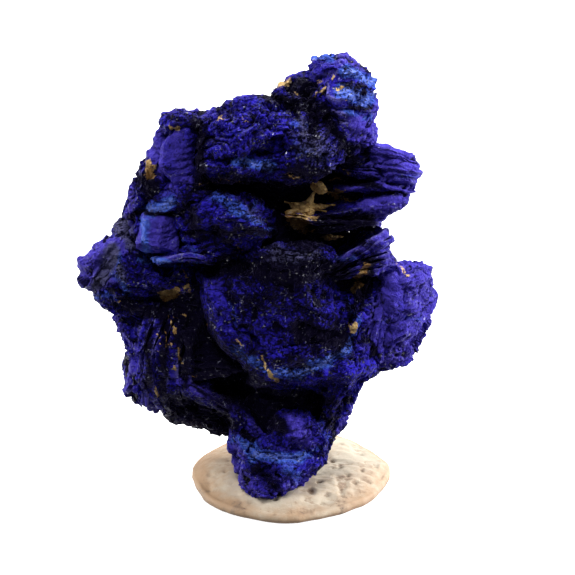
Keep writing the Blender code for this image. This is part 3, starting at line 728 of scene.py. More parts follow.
class Wire:
    # a node socket; arithmetic on it adds Math nodes, and node() adds any other node

    def __init__(self, tree, socket=None):
        self.tree, self.socket = tree, socket

    def node(self, kind, settings=None, links=None, out=0):
        # settings are set first, then each socket's value or link, by name or number
        made = self.tree.nodes.new(kind)
        for key, value in (settings or {}).items():
            setattr(made, key, value)
        for key, value in (links or {}).items():
            if isinstance(value, Wire):
                self.tree.links.new(value.socket, made.inputs[key])
            else:
                made.inputs[key].default_value = value
        return Wire(self.tree, made.outputs[out])

    def maths(self, operation, first, second):
        return self.node("ShaderNodeMath", {"operation": operation}, {0: first, 1: second})

    def __add__(self, other):
        return self.maths("ADD", self, other)

    __radd__ = __add__

    def __sub__(self, other):
        return self.maths("SUBTRACT", self, other)

    def __rsub__(self, other):
        return self.maths("SUBTRACT", other, self)

    def __mul__(self, other):
        return self.maths("MULTIPLY", self, other)

    def vector(self, operation, *others):
        links = dict(enumerate((self, *others)))
        return self.node("ShaderNodeVectorMath", {"operation": operation}, links)

    def parts(self, kind="ShaderNodeSeparateColor"):
        taken = self.node(kind, None, {0: self}).socket.node
        return [Wire(self.tree, taken.outputs[index]) for index in range(3)]

    def attribute(self, name):
        # the four values of a colour attribute
        read = self.node("ShaderNodeAttribute", {"attribute_name": name})
        return [*read.parts(), Wire(self.tree, read.socket.node.outputs[3])]

    def crumbs(self, scale, out=0):
        return self.node("ShaderNodeTexVoronoi", None, {"Vector": self, "Scale": scale}, out)

    def between(self, low, high):
        # 0 at low, 1 at high, eased
        links = {"Value": self, "From Min": low, "From Max": high}
        return self.node("ShaderNodeMapRange", {"interpolation_type": "SMOOTHSTEP"}, links)

    def mixed(self, first, second):
        # first where this value is 0, second where it is 1
        return self.node("ShaderNodeMix", {"data_type": "RGBA"}, {0: self, 6: first, 7: second}, out=2)

    def noise(self, scale, detail=3.0, rough=0.55, warp=0.0, out=0):
        links = {"Vector": self, "Scale": scale, "Detail": detail, "Roughness": rough, "Distortion": warp}
        return self.node("ShaderNodeTexNoise", None, links, out)


def startMaterial(name, settings):
    # the material, its shader, a wire to start nodes from and the object's own coordinates in mm
    material = bpy.data.materials.new(name)
    material.use_nodes = True
    shader = material.node_tree.nodes["Principled BSDF"]
    for key, value in settings.items():
        shader.inputs[key].default_value = value
    start = Wire(material.node_tree)
    spot = start.node("ShaderNodeTexCoord", out=3).vector("MULTIPLY", (1000, 1000, 1000))
    return material, shader, start, spot


def plug(shader, start, links):
    # links each wire to the socket of the shader that it drives
    for socket, wire in links.items():
        start.tree.links.new(wire.socket, shader.inputs[socket])


def colour(red, green, blue):
    return (red, green, blue, 1.0)


azuriteLook = {
    "deep": colour(0.0024, 0.0014, 0.030),
    "vivid": colour(0.0200, 0.0140, 0.360),
    "lilac": colour(0.050, 0.036, 0.340),
    # paler rims: worn edges, partly a painted highlight
    "rim": colour(0.130, 0.115, 0.420),
    # azure and pale dust, partly a painted highlight
    "azure": colour(0.050, 0.108, 0.540),
    "pale": colour(0.210, 0.250, 0.580),
    "moss": colour(0.086, 0.083, 0.185),
    # near black: dark cracks, and painted shade in hollows, pits and grain gaps
    "crack": colour(0.0010, 0.0006, 0.0030),
    # a painted glint
    "glint": colour(0.42, 0.43, 0.62),
    "earth": colour(0.170, 0.090, 0.026),
    "cream": colour(0.66, 0.46, 0.20),
    "broadScale": 0.35,  # waves or cells for each mm
    "patchScale": 1.3,
    "fineScale": 5.5,
    "gritScale": 15.0,
    "crumbScale": 2.8,
    "grainScale": 6.5,
    "bendScale": 1.8,
    "hairScale": 2.4,
    "bumpDepth": 0.00012,  # metres
    "flakeTilt": 0.5,
}
azuriteShine = {
    "Specular IOR Level": 0.05,
    "Specular Tint": colour(0.25, 0.20, 0.85),
    "Sheen Weight": 0.06,
    "Sheen Roughness": 0.35,
    "Sheen Tint": colour(0.36, 0.30, 1.0),
    "Coat Roughness": 0.16,
}


def makeAzurite():
    look = azuriteLook
    material, shader, start, spot = startMaterial("azuriteCrystal", azuriteShine)
    crack, rim, shade, moss = start.attribute("wear")
    azure, earth, lilac, dark = start.attribute("stainAndShade")
    broad = spot.noise(look["broadScale"], 3.0, 0.6, 0.5)
    patch = spot.noise(look["patchScale"], 5.0, 0.65, 0.4)
    fine = spot.noise(look["fineScale"], 5.0, 0.7)
    grit = spot.noise(look["gritScale"], 2.0, 0.6)
    bent = spot.noise(look["bendScale"], 4.0, out=1).vector("MULTIPLY_ADD", (0.9, 0.9, 0.9), spot)
    bent = bent.vector("MULTIPLY", (0.75, 0.75, 1.5))
    crumb, grain = bent.crumbs(look["crumbScale"]), bent.crumbs(look["grainScale"])
    # painted shade in the gaps between crumbs and grains, less on lilac
    grainGapShade = (crumb * 0.55 + grain * 0.45) * (1 - lilac * 0.5)
    upward = start.node("ShaderNodeNewGeometry", out=1).parts("ShaderNodeSeparateXYZ")[2]
    flakes = spot.crumbs(look["grainScale"], out=1)
    flake, tone = flakes.parts()[:2]

    # each colour is mixed over the ones before it
    # the tone differs at random, and painted shade in grain gaps and dark streaks lowers it
    lit = broad * 0.5 + patch * 0.7 + shade * 0.45 - 0.12 + fine * 0.6 + grit * 0.3 + tone * 0.22
    lit = (lit - grainGapShade * 0.65 - dark * 0.7).between(0.50, 1.22)
    body = lit.mixed(look["deep"], look["vivid"])
    # lilac tone, partly a painted sheen where light catches faces
    lilacToneAndSheen = (lilac * 0.9 + patch * 0.7 + fine * 0.4 - dark * 0.5 - 0.80).between(0.0, 0.6)
    body = lilacToneAndSheen.mixed(body, look["lilac"])
    # paler rims, worn and partly a painted highlight
    edged = (rim * (fine + patch - 0.45) - dark * 0.2).between(0.15, 0.55)
    body = edged.mixed(body, look["rim"])
    # azure dust and, where thickest, pale dust: partly a painted highlight, a little more on faces that
    # point up
    dusted = (azure + upward * 0.1 + fine * 0.6 + patch * 0.6 - dark * 0.3 - 0.95).between(0.0, 0.6)
    body = dusted.mixed(body, look["azure"])
    dusty = (azure + fine * 0.8 - 1.25).between(0.0, 0.4)
    body = dusty.mixed(body, look["pale"])
    mossy = (moss + fine * 0.7 + grit * 0.3 - 0.85).between(0.0, 0.5)
    body = mossy.mixed(body, look["moss"])
    # painted shade: near black in the dark streaks, in cracks and pits, and in the gaps between grains
    for hollow in (
        (dark * 1.2 + fine * 0.5 - 0.55).between(0.0, 0.8),
        (crack * 0.95 + patch * 0.3 - 0.50).between(0.0, 0.6),
        (grainGapShade + fine * 0.6 - tone * 0.25 + dark * 0.3).between(0.48, 0.90),
    ):
        body = hollow.mixed(body, look["crack"])
    earthy = (earth + fine * 1.1 + grit * 0.3 - 1.10).between(0.05, 0.20)
    # the clay is browner where painted shade falls, creamier elsewhere
    soil = (patch + grit * 0.6 - dark * 0.3).between(0.52, 0.92).mixed(look["earth"], look["cream"])
    body = earthy.mixed(body, soil)

    # painted glints in the base colour: slivers where a slow noise crosses its middle, and specks on a
    # few flakes
    hair = spot.noise(look["hairScale"], 1.0) - 0.5
    sliver = 1 - (hair * hair).between(0.00003, 0.0004)
    sliver = sliver * patch.between(0.54, 0.60) * fine.between(0.46, 0.54)
    speck = flake.between(0.935, 0.950) * broad.between(0.49, 0.58) * fine.between(0.48, 0.54)
    body = (sliver * 0.45 + speck * 0.15).between(0.0, 1.0).mixed(body, look["glint"])

    height = fine * 0.5 + grit * 0.2 + patch * 0.3 - crumb * 0.8 - grain * 0.5
    bumpLinks = {"Strength": 0.8, "Distance": look["bumpDepth"], "Height": height}
    bump = start.node("ShaderNodeBump", None, bumpLinks)
    tipped = flakes.vector("SUBTRACT", (0.5, 0.5, 0.5)).vector("MULTIPLY", (look["flakeTilt"],) * 3)
    plug(shader, start, {
        "Base Color": body,
        "Roughness": 0.42 + dusty * 0.2 + mossy * 0.25 + earthy * 0.3 + fine * 0.15,
        "Coat Weight": (sliver + speck) * (1 - earthy),
        "Normal": tipped.vector("ADD", bump).vector("NORMALIZE"),
    })
    return material


azurite = makeAzurite()
print("azurite material ready")


def azuritePiece(name, rocks=(), stacks=()):
    skins = [rockSkin(look, rocks) for look in rocks] + [stackSkin(look) for look in stacks]
    return place(name, skins, azurite, "azurite_cluster")


crestLedge = {"tip": 10, "square": 2.8, "layer": 0.5, "flat": 0.35, "fillet": 0.1, "knob": 0.06,
              "shard": 0.14}
crest = [
    # the knobby top
    lobe(101, (3.5, 31, -0.5), (2, 1.6, 2.2), turn=-4, strike=10, knob=0.12, violet=0.5, dust=0.12,
         layer=0.6, pit=0.25, square=2.8),
    # ledges that end on the right
    lobe(102, (4.1, 29.1, -0.2), (1.3, 1.8, 2), strike=8, tip=18, layer=0.85, ledge=0.34, crack=0.5,
         dust=0.25, square=2.8, shardSize=1.8, flat=0.35),
    # first ledge
    lobe(168, (4.4, 30.4, -1), (1.3, 0.4, 2), crestLedge, turn=-8, strike=-6, shard=0.12, violet=0.35,
         dust=0.3, green=0.35),
    # second ledge
    lobe(169, (4.5, 29.4, -1.1), (1.6, 0.4, 2.2), crestLedge, turn=3, strike=4, violet=0.3, dust=0.35,
         green=0.3),
    # third ledge
    lobe(170, (4.2, 28.3, -1.2), (2, 0.4, 2.4), crestLedge, turn=-3, strike=-2, violet=0.35, dust=0.15,
         green=0.2),
    # the grainy knob under them
    lobe(103, (4.5, 26.6, -1.6), (1.8, 1.6, 2.4), knob=0.16, violet=0.45, rough=0.2, pit=0.1),
    # dark pitted ridge
    lobe(104, (1.6, 28.3, -1.4), (2, 2.3, 2.7), turn=-10, strike=25, pit=0.35, crack=0.35, dark=0.2),
    # the step on the left
    lobe(105, (-0.2, 29.5, 0.2), (1.2, 0.9, 2), turn=20, pit=0.3, dark=0.1),
    # neck to the wing, darkened as painted shade
    lobe(106, (4.6, 24.8, 0), (1.8, 1.1, 2.4), turn=-10, strike=-8, dark=0.5, crack=0.3),
    # behind
    lobe(107, (2.5, 28.1, 1.5), (2.7, 3.3, 3), turn=-12, step=0.22),
]
crestShelves = [
    stack(19, (4.3, -1.5, 30.9), (1.6, 1.7, 2.3), normal=(-0.12, -0.4, 0.9), layers=6, roundness=5,
          groove=0.9, ledge=0.1, jag=0.05, chip=0.2, wave=0.25, shelf=3, rough=0.3, grain=0.07, dust=0.25,
          violet=0.4),
]
azuritePiece("crestLedges", crest, crestShelves)

brow = [
    # top edge
    lobe(108, (-3.3, 28.2, -0.6), (2.4, 0.9, 2.6), turn=10, strike=20, violet=0.3),
    # the pitted face
    lobe(109, (-2.5, 26.6, -1.8), (3.6, 1.9, 3.7), turn=20, strike=27, tip=10, ledge=0.2, crack=0.35,
         pit=0.3, shardSize=1.6, flat=0.5),
    # its left end
    lobe(110, (-5, 25.6, -2.7), (1.8, 1.8, 3.1), turn=50, strike=30, tip=5, crack=0.3, pit=0.25),
    # green and pitted lump
    lobe(111, (1.7, 25.6, -3.5), (2.5, 2.2, 2.5), turn=-20, strike=15, rough=0.4, pit=0.4, green=0.25,
         dust=0.1),
    # long ridge below
    lobe(112, (-3.3, 24.2, -3), (3.6, 1.3, 3.4), turn=4, strike=8, tip=20, crack=0.2, pit=0.15, dust=0.1,
         shardSize=2, flat=0.4),
    # its tail
    lobe(113, (0, 23.7, -2.6), (2.1, 0.9, 2.8), turn=-4, strike=5, pit=0.25),
    # behind
    lobe(114, (-2.1, 26.8, 2), (3.9, 2.4, 3.4), turn=12, step=0.22),
]
azuritePiece("browLamellae", brow)

smoothBlock = {"warp": 0.2, "knob": 0.02, "crumb": 0.03, "pit": 0.03, "ledge": 0.03, "crack": 0.03,
               "fillet": 0.05}
cheek = [
    # cap
    lobe(115, (-7.6, 27.2, -1.3), (1.8, 0.9, 2.2), turn=6, strike=10, violet=0.3, dark=0.1),
    # tall block
    lobe(116, (-8.2, 24.7, -3), (1.4, 2.3, 1.6), turn=-5, square=5, facets=9, cut=0.25, sharp=30,
         warp=0.22, rough=0.18, knob=0.04, crumb=0.04, ledge=0.04, crack=0.04, pit=0.05, violet=0.5,
         shard=0.06, fillet=0.08),
    # lobe beside it
    lobe(117, (-9.7, 25.1, -2.2), (0.8, 1.5, 1.6), turn=-14, square=2.6, knob=0.04, crumb=0.04,
         ledge=0.04, violet=0.7, shard=0.1, fillet=0.1),
    # foot of the block
    lobe(118, (-7.6, 22.5, -3), (1.6, 1.1, 1.9), turn=14, square=2.8, rough=0.2, pit=0.1, knob=0.05,
         violet=0.6, shard=0.12, fillet=0.2),
    # dark groove beside it
    lobe(119, (-6.3, 25.5, -2.4), (2.6, 0.4, 2.5), turn=76, strike=76, tip=0, layer=0.4, knob=0.12,
         rough=0.5, dark=0.1),
    # plates seen on edge
    lobe(120, (-10.3, 23.4, -0.8), (2.9, 1, 2.8), turn=62, strike=64, tip=0, layer=0.45, ledge=0.15,
         crack=0.3, dark=0.15, violet=0.3, flat=0.35),
    # wedge
    lobe(121, (-9.3, 21.4, -3.2), (1.4, 0.9, 1.6), smoothBlock, turn=20, square=5, facets=7, cut=0.4,
         sharp=34, rough=0.12, dust=0.3, violet=0.6, shard=0.05),
    # lower block
    lobe(122, (-9.7, 18.9, -3.2), (1.6, 1.6, 1.9), smoothBlock, turn=-8, square=6, facets=6, cut=0.35,
         sharp=40, rough=0.14, violet=0.8, dust=0.1, shard=0.06),
    # left fringe
    lobe(123, (-11.3, 20.2, -1), (1, 1.7, 2), turn=12, strike=70, tip=0, layer=0.5, violet=0.3),
    # inner column
    lobe(124, (-8.7, 22.3, 0.6), (2.2, 4.8, 2.9), turn=-14, step=0.28, dark=0.3),
]
azuritePiece("cheekColumn", cheek)

lip = [
    # the lens
    lobe(125, (-4.5, 20.2, -2.8), (4, 2, 4.4), turn=-2, strike=6, tip=5, run=5, rough=0.45, roughSize=2,
         ledge=0.06, pit=0.25, dust=0.12, green=0.1, crack=0.05, shardSize=1.8, flat=0.45),
    # block on its left
    lobe(126, (-7.5, 21.8, -2.6), (2.1, 1.3, 2.8), turn=-8, strike=15, square=2.8, violet=0.3, dark=0.2),
    # under it
    lobe(127, (-6.4, 18.1, -2.2), (3.1, 0.8, 3.6), turn=2, strike=4, layer=0.5, crack=0.3, dark=0.1),
    # hollow below the shelf
    lobe(128, (-9.2, 15.8, -1.6), (2.5, 1.3, 2.6), turn=-6, strike=-10, layer=0.5, rough=0.15, dark=0.3,
         violet=0.3),
]
lipShelf = [
    stack(8, (-7.9, -3.1, 19.3), (3.5, 3.2, 0.3), normal=(0.06, 0.30, 1), layers=2, sides=9, jag=0.05,
          ledge=0.12, violet=0.5),
]
azuritePiece("lipPlates", lip, lipShelf)

shoulder = [
    # outer mass
    lobe(129, (-13.6, 16.9, -0.4), (2, 2.3, 2.9), turn=-8, strike=50, tip=5, rough=0.6, roughSize=2.2,
         knob=0.1, pit=0.08, green=0.28, violet=0.8, dust=0.1, shardSize=2.2, flat=0.5),
    # inner mass
    lobe(130, (-11.5, 16.3, -0.6), (1.6, 2.2, 3), turn=10, strike=-30, rough=0.4, pit=0.12, green=0.32,
         shardSize=1.8, dust=0.1),
    # peak
    lobe(131, (-12, 19.8, 0.2), (0.8, 1.2, 1.8), turn=-14, knob=0.1, green=0.4, pit=0.1),
    # hem
    lobe(132, (-12.8, 14.4, -0.4), (2, 0.8, 2.5), turn=-36, strike=-36, layer=0.5, crack=0.3, dust=0.1,
         green=0.3),
    # under the hem
    lobe(133, (-10.8, 12.9, 0.4), (2.2, 1.9, 2.4), turn=-40, strike=-50, layer=0.5, dark=0.3),
]
azuritePiece("shoulderPlates", shoulder)

smoothLeaf = {"tip": 5, "layer": 0.5, "run": 6, "rough": 0.15, "knob": 0.03, "crumb": 0.03,
              "pit": 0.03, "ledge": 0.08, "crack": 0.15, "fillet": 0.1}
thinLeaf = {"tip": 5, "run": 6, "rough": 0.15, "knob": 0.04, "pit": 0.04, "shardSize": 2.4,
            "fillet": 0.05}
wing = [
    # smooth crown
    lobe(134, (7.2, 24.9, -0.2), (2.5, 0.9, 3), smoothLeaf, turn=-20, strike=-18, violet=1, shard=0.14,
         shardSize=2.6, flat=0.22),
    # blue facet under it
    lobe(166, (7.8, 23.8, -0.8), (1.8, 0.9, 2.6), smoothLeaf, turn=-10, strike=-8, violet=0.55,
         shard=0.16, shardSize=2.2, flat=0.3, square=2.8),
    # middle leaves
    lobe(135, (6.3, 22.5, -0.9), (3.1, 0.4, 2.8), thinLeaf, turn=-2, strike=-2, layer=0.5, ledge=0.1,
         crack=0.2, violet=0.8, shard=0.14, flat=0.28),
    # plates between them
    lobe(167, (5.1, 23.8, -0.6), (2.1, 0.8, 2.2), thinLeaf, turn=-8, strike=-6, layer=0.3, ledge=0.16,
         crack=0.4, violet=0.6, shard=0.2, flat=0.22),
    # grainy lower leaf
    lobe(136, (6.8, 21.4, -1.6), (2.3, 0.9, 2.8), turn=16, strike=16, tip=5, layer=0.9, knob=0.13,
         rough=0.2, pit=0.05, crack=0.05, ledge=0.05, violet=0.9, shard=0.12, shardSize=1.8, flat=0.35,
         fillet=0.1),
    # root, darkened as painted shade
    lobe(137, (4, 22.7, 1.3), (3.4, 1.9, 2.8), step=0.22, dark=0.6),
    # under the wing, darkened as painted shade
    lobe(138, (4.5, 20.1, 0.6), (1.9, 1, 2.2), turn=-4, dark=0.8, step=0.2),
    # leaf over the tray, dark with painted shade
    lobe(139, (3.6, 19.7, -1.9), (2.3, 0.4, 2.2), turn=10, strike=10, tip=5, knob=0.03, crumb=0.03,
         rough=0.15, ledge=0.05, crack=0.03, dark=0.5, shard=0.08, fillet=0),
]
wingBlades = [
    fanned(20, (0.4, -0.7, 22.6), -4, 15, 0, 7.4, 6.4, lean=(1.6, 0, 0), layers=9, sides=9, bowl=0.2,
           groove=1.5, ledge=0.12, wave=0.2, grain=0.07, rough=0.25, violet=0.6),
]
azuritePiece("wingPlates", wing, wingBlades)

trayBlades = [
    fanned(21, (1.6, -1.4, 18), -6, 28, 0, 6, 6.2, layers=7, sides=9, bowl=0.8, groove=2.4, shelf=5,
           ledge=0.16, jag=0.05, chip=0.2, violet=0.5, dark=0.15),
]
azuritePiece("trayBlades", (), trayBlades)

swelling = {"tip": 5, "shard": 0.3, "shardSize": 2.2, "fillet": 0.6, "cut": 0.3, "sharp": 24}
dome = [
    # main swelling
    lobe(140, (-0.1, 13.9, -2.9), (5, 4.1, 4.5), swelling, strike=-24, layer=1.2, run=4, rough=0.7,
         roughSize=2.6, ledge=0.10, knob=0.06, pit=0.3, crack=0.10, dark=0.05, step=0.16, facets=14),
    # smooth left slope
    lobe(141, (-4, 13.2, -2.2), (5.2, 2.2, 3.3), swelling, turn=-58, strike=-60, square=3.2, layer=1.1,
         rough=0.4, roughSize=2.4, ledge=0.06, knob=0.05, pit=0.08, crack=0.05, violet=0.25, shard=0.25),
    # dusty crown
    lobe(142, (0.1, 17.5, -3.4), (3.4, 1.1, 3.4), turn=-3, layer=0.5, rough=0.35, pit=0.3, green=0.25,
         dark=0.15),
    # azure band
    lobe(143, (0.9, 9.6, -3.7), (4, 2, 3.9), turn=4, strike=12, tip=5, layer=1, rough=0.4, ledge=0.07,
         crack=0.06, pit=0.15, dust=0.1, shardSize=2, flat=0.45, fillet=0.6),
    # lined flank
    lobe(144, (4.8, 11.8, -2.5), (4.3, 1.2, 3), turn=78, strike=80, tip=5, layer=0.45, crack=0.3,
         violet=0.3, shardSize=2, flat=0.35),
    # hip
    lobe(145, (4, 7.6, -2.2), (3.4, 1.5, 3.2), turn=56, strike=60, tip=5, layer=0.5, crack=0.25,
         violet=0.2, shardSize=1.8, flat=0.4),
    # under the slope, darkened as painted shade
    lobe(146, (-5.1, 9.3, 1.2), (3.6, 3.6, 2.4), turn=-20, strike=-10, layer=0.5, crack=0.4, ledge=0.2,
         dark=0.9, step=0.24),
    # neck of the lobe
    lobe(147, (6.3, 12.3, -1.8), (1.6, 3.1, 2.8), turn=-8, strike=78, tip=5, layer=0.5, crack=0.15,
         violet=0.4),
]
azuritePiece("domePlates", dome)

rightLobe = [
    # grainy head
    lobe(148, (8.6, 15.1, -0.6), (2.3, 2.3, 3.2), strike=14, tip=10, layer=1.2, knob=0.12, rough=0.35,
         pit=0.12, violet=0.8, green=0.3),
    # ear
    lobe(149, (7.6, 15.1, -2.5), (1.6, 0.6, 1.6), turn=78, square=2.5, rough=0.08, knob=0.02, pit=0,
         ledge=0.04, crack=0.05, violet=0.6, shard=0.15, shardSize=1.8, flat=0.4, fillet=0.4),
    # swirled lower half
    lobe(150, (8.2, 12.7, -0.8), (2.7, 2.2, 3.2), turn=38, strike=40, tip=20, layer=1, run=5, ledge=0.14,
         crack=0.2, knob=0.06, pit=0.05, violet=0.8, green=0.15, shardSize=2.2, flat=0.3),
    # tip
    lobe(151, (7.3, 10.3, -0.6), (1.8, 1.1, 2.6), turn=28, strike=25, rough=0.2, violet=0.4),
    # root
    lobe(152, (5.8, 13.5, 0.4), (2.1, 3.9, 3), step=0.22, dark=0.2),
]
azuritePiece("rightLobe", rightLobe)

skirt = [
    # upper edge
    lobe(153, (-12.2, 11.9, -0.6), (2.1, 0.6, 2.4), turn=-58, strike=-58, tip=0, layer=0.4, crack=0.3,
         violet=0.3),
    # outer lobe
    lobe(154, (-11.3, 8.5, -0.8), (2.2, 1.1, 2.5), turn=82, strike=80, tip=0, layer=0.5, knob=0.1,
         crack=0.3, violet=0.4, shardSize=1.8, flat=0.4),
    # hanging folds
    lobe(155, (-9.2, 9.8, -0.6), (3.8, 1.9, 2.7), turn=86, strike=86, tip=0, layer=0.42, run=4, ledge=0.2,
         crack=0.45, dark=0.3, shardSize=2.2, flat=0.3, shard=0.25),
    # ledge
    lobe(156, (-6.4, 7.3, -1.9), (3.1, 0.8, 2.8), turn=-30, strike=-30, tip=15, rough=0.25, pit=0.05,
         knob=0.05, violet=0.6, shard=0.15, shardSize=1.8, flat=0.4),
    # lap, darkened as painted shade
    lobe(157, (-6.4, 5.5, 0), (2.9, 1.3, 3.2), turn=-12, strike=-20, square=2.8, dark=0.6),
    # behind, darkened as painted shade
    lobe(158, (-9.3, 10.3, 1), (2.6, 4.6, 2.6), step=0.28, dark=0.5),
]
skirtBlades = [
    stack(22, (-8.9, -1.4, 11.3), (4.1, 2.8, 2.4), normal=(0.96, -0.28, 0.05), along=(0.1, 0, -1),
          layers=7, sides=10, roundness=4, groove=0.7, ledge=0.1, jag=0.05, wave=0.45, rough=0.3, shelf=3,
          bothShelves=True, violet=0.35, dark=0.15),
    fanned(23, (-2.6, -0.6, 11.4), 162, 196, 0, 6.2, 6.4, bowl=0.3, groove=2, rough=0.3, dark=0.6),
]
azuritePiece("skirtBlades", skirt, skirtBlades)

foot = [
    # grainy left column
    lobe(159, (-3.7, 4.3, -2.5), (3.4, 1.1, 2.8), turn=-76, strike=-70, tip=5, knob=0.14, crack=0.1,
         violet=0.7, dust=0.15),
    # nub
    lobe(160, (0.3, 4.6, -3.8), (1.8, 1.6, 2.4), knob=0.16, rough=0.35, pit=0.1, violet=0.3, green=0.1,
         dark=0.1, square=2.8, facets=10, cut=0.3),
    # stepped plates
    lobe(161, (2.7, 4.9, -2.6), (3.1, 1.1, 2.9), turn=56, strike=48, tip=10, layer=0.6, ledge=0.2,
         crack=0.4, violet=0.2, shardSize=1.6, flat=0.4, shard=0.3),
    # dusty band
    lobe(162, (-1, 2.5, -3.6), (3.3, 1.2, 3.1), turn=-4, strike=-4, tip=5, rough=0.35, pit=0.25,
         violet=0.4, dust=0.3),
    # blunt end
    lobe(163, (-1.4, 0.9, -3.2), (2.7, 1.9, 3.5), turn=8, strike=-20, tip=5, rough=0.4, knob=0.12,
         pit=0.3, crack=0.1, violet=0.6, dust=0.22),
    # core
    lobe(164, (-0.7, 3.8, -0.9), (2.9, 3.3, 3), step=0.3, dark=0.3),
]
azuritePiece("footPlates", foot)

backRosette = {"layers": 12, "sides": 9, "step": 0.3, "rough": 0.35, "dark": 0.25}
backPlates = [
    stack(30, (-1.9, 4.4, 24.6), (5.6, 4, 3.6), backRosette, normal=(0.05, 0.55, 0.8)),
    stack(31, (-8.3, 3.6, 17.6), (3.9, 3.4, 4.2), backRosette, normal=(-0.6, 0.6, 0.4)),
    stack(32, (4.4, 3.8, 14.3), (3.6, 3.4, 3.8), backRosette, normal=(0.5, 0.7, 0.4)),
    stack(33, (-1.8, 4.4, 12.4), (5.6, 4, 4), backRosette, normal=(0, 0.8, -0.4), sides=8),
]
azuritePiece("backPlates", (), backPlates)

backFan = {"groove": 1, "step": 0.3, "rough": 0.35, "dark": 0.25, "jag": 0.05, "violet": 0.1,
           "wave": 0.4}
backFans = [
    fanned(34, (-1.2, 2.4, 22.6), -24, 12, 90, 6.8, 9.4, backFan, bowl=0.3),
    fanned(35, (-2.4, 2.2, 16.4), -66, -24, 104, 7.4, 9.4, backFan, layers=9, bowl=0.2),
    fanned(36, (-5.8, 2.6, 21), -16, 10, 150, 5.2, 6, backFan, layers=6, bowl=0.2),
    fanned(37, (1.4, 2.6, 18.4), -30, -2, 34, 6.2, 6.8, backFan, layers=6, bowl=0.3),
]
azuritePiece("backBlades", (), backFans)

# painted shade darkens the lobes buried inside
buried = {"dark": 0.5, "step": 0.34}
heart = [
    lobe(51, (-1.6, 18.6, 1.8), (5.8, 9.2, 4.8), buried, turn=-4, dark=0.6),
    lobe(52, (-7.4, 18.8, 1.8), (4.2, 7.4, 3.8), buried, turn=-10),
    lobe(53, (4, 14.4, 1.2), (4.4, 4.6, 4.2), buried, turn=10),
    lobe(54, (0.6, 26.4, 0.6), (4.6, 3.4, 3.8), buried, turn=18),
    lobe(55, (0, 8, -0.4), (3.6, 4.6, 3.6), buried, turn=-4, dark=0.4),
    lobe(56, (-6.4, 11.4, 1.6), (3.4, 4, 3.4), buried, turn=14),
]
# the clay in the hollow, which runs out between the blades in points
fleck = {"square": 1.05, "clay": 1, "dark": 0, "fillet": 0.05, "facets": 5, "shard": 0.1,
         "rough": 0.12, "knob": 0.03, "ledge": 0.03, "crack": 0, "pit": 0, "warp": 0.08, "step": 0.12}
clay = [
    # flat middle
    lobe(57, (1.2, 21.05, -2.45), (0.85, 0.5, 0.35), fleck, turn=8, square=1.15),
    # fingers
    lobe(58, (0.45, 21.3, -2.4), (1.1, 0.2, 0.3), fleck, turn=-14),
    lobe(59, (0.5, 20.85, -2.4), (0.95, 0.18, 0.3), fleck, turn=14),
    lobe(60, (1.4, 20.7, -2.4), (0.8, 0.22, 0.3), fleck, turn=-66),
    lobe(61, (2, 20.95, -2.4), (0.9, 0.18, 0.3), fleck, turn=-16),
    lobe(62, (2.15, 21.2, -2.4), (1.3, 0.14, 0.3), fleck, turn=3),
    lobe(63, (1.5, 21.6, -2.4), (0.8, 0.18, 0.3), fleck, turn=66),
    # patch above
    lobe(64, (2.15, 22.5, -2.3), (0.85, 0.5, 0.35), fleck, turn=-24, square=1.1),
    # brown ledge below
    lobe(65, (2.6, 18.9, -0.7), (1.6, 0.35, 1.2), fleck, turn=4, clay=0.85),
]
azuritePiece("innerMass", heart + clay)
print("azurite grown:", sum(faceCount.values()), "triangles")

# the pat of putty: a round skin of rings over the top, round the edge and under
pat = {"radii": (7.7, 8.5), "shift": 1.2, "square": 1.85, "thickness": 1.5, "lip": 0.75, "rim": 0.4,
       "columns": 210, "over": 62, "round": 15, "under": 8, "salt": 900}


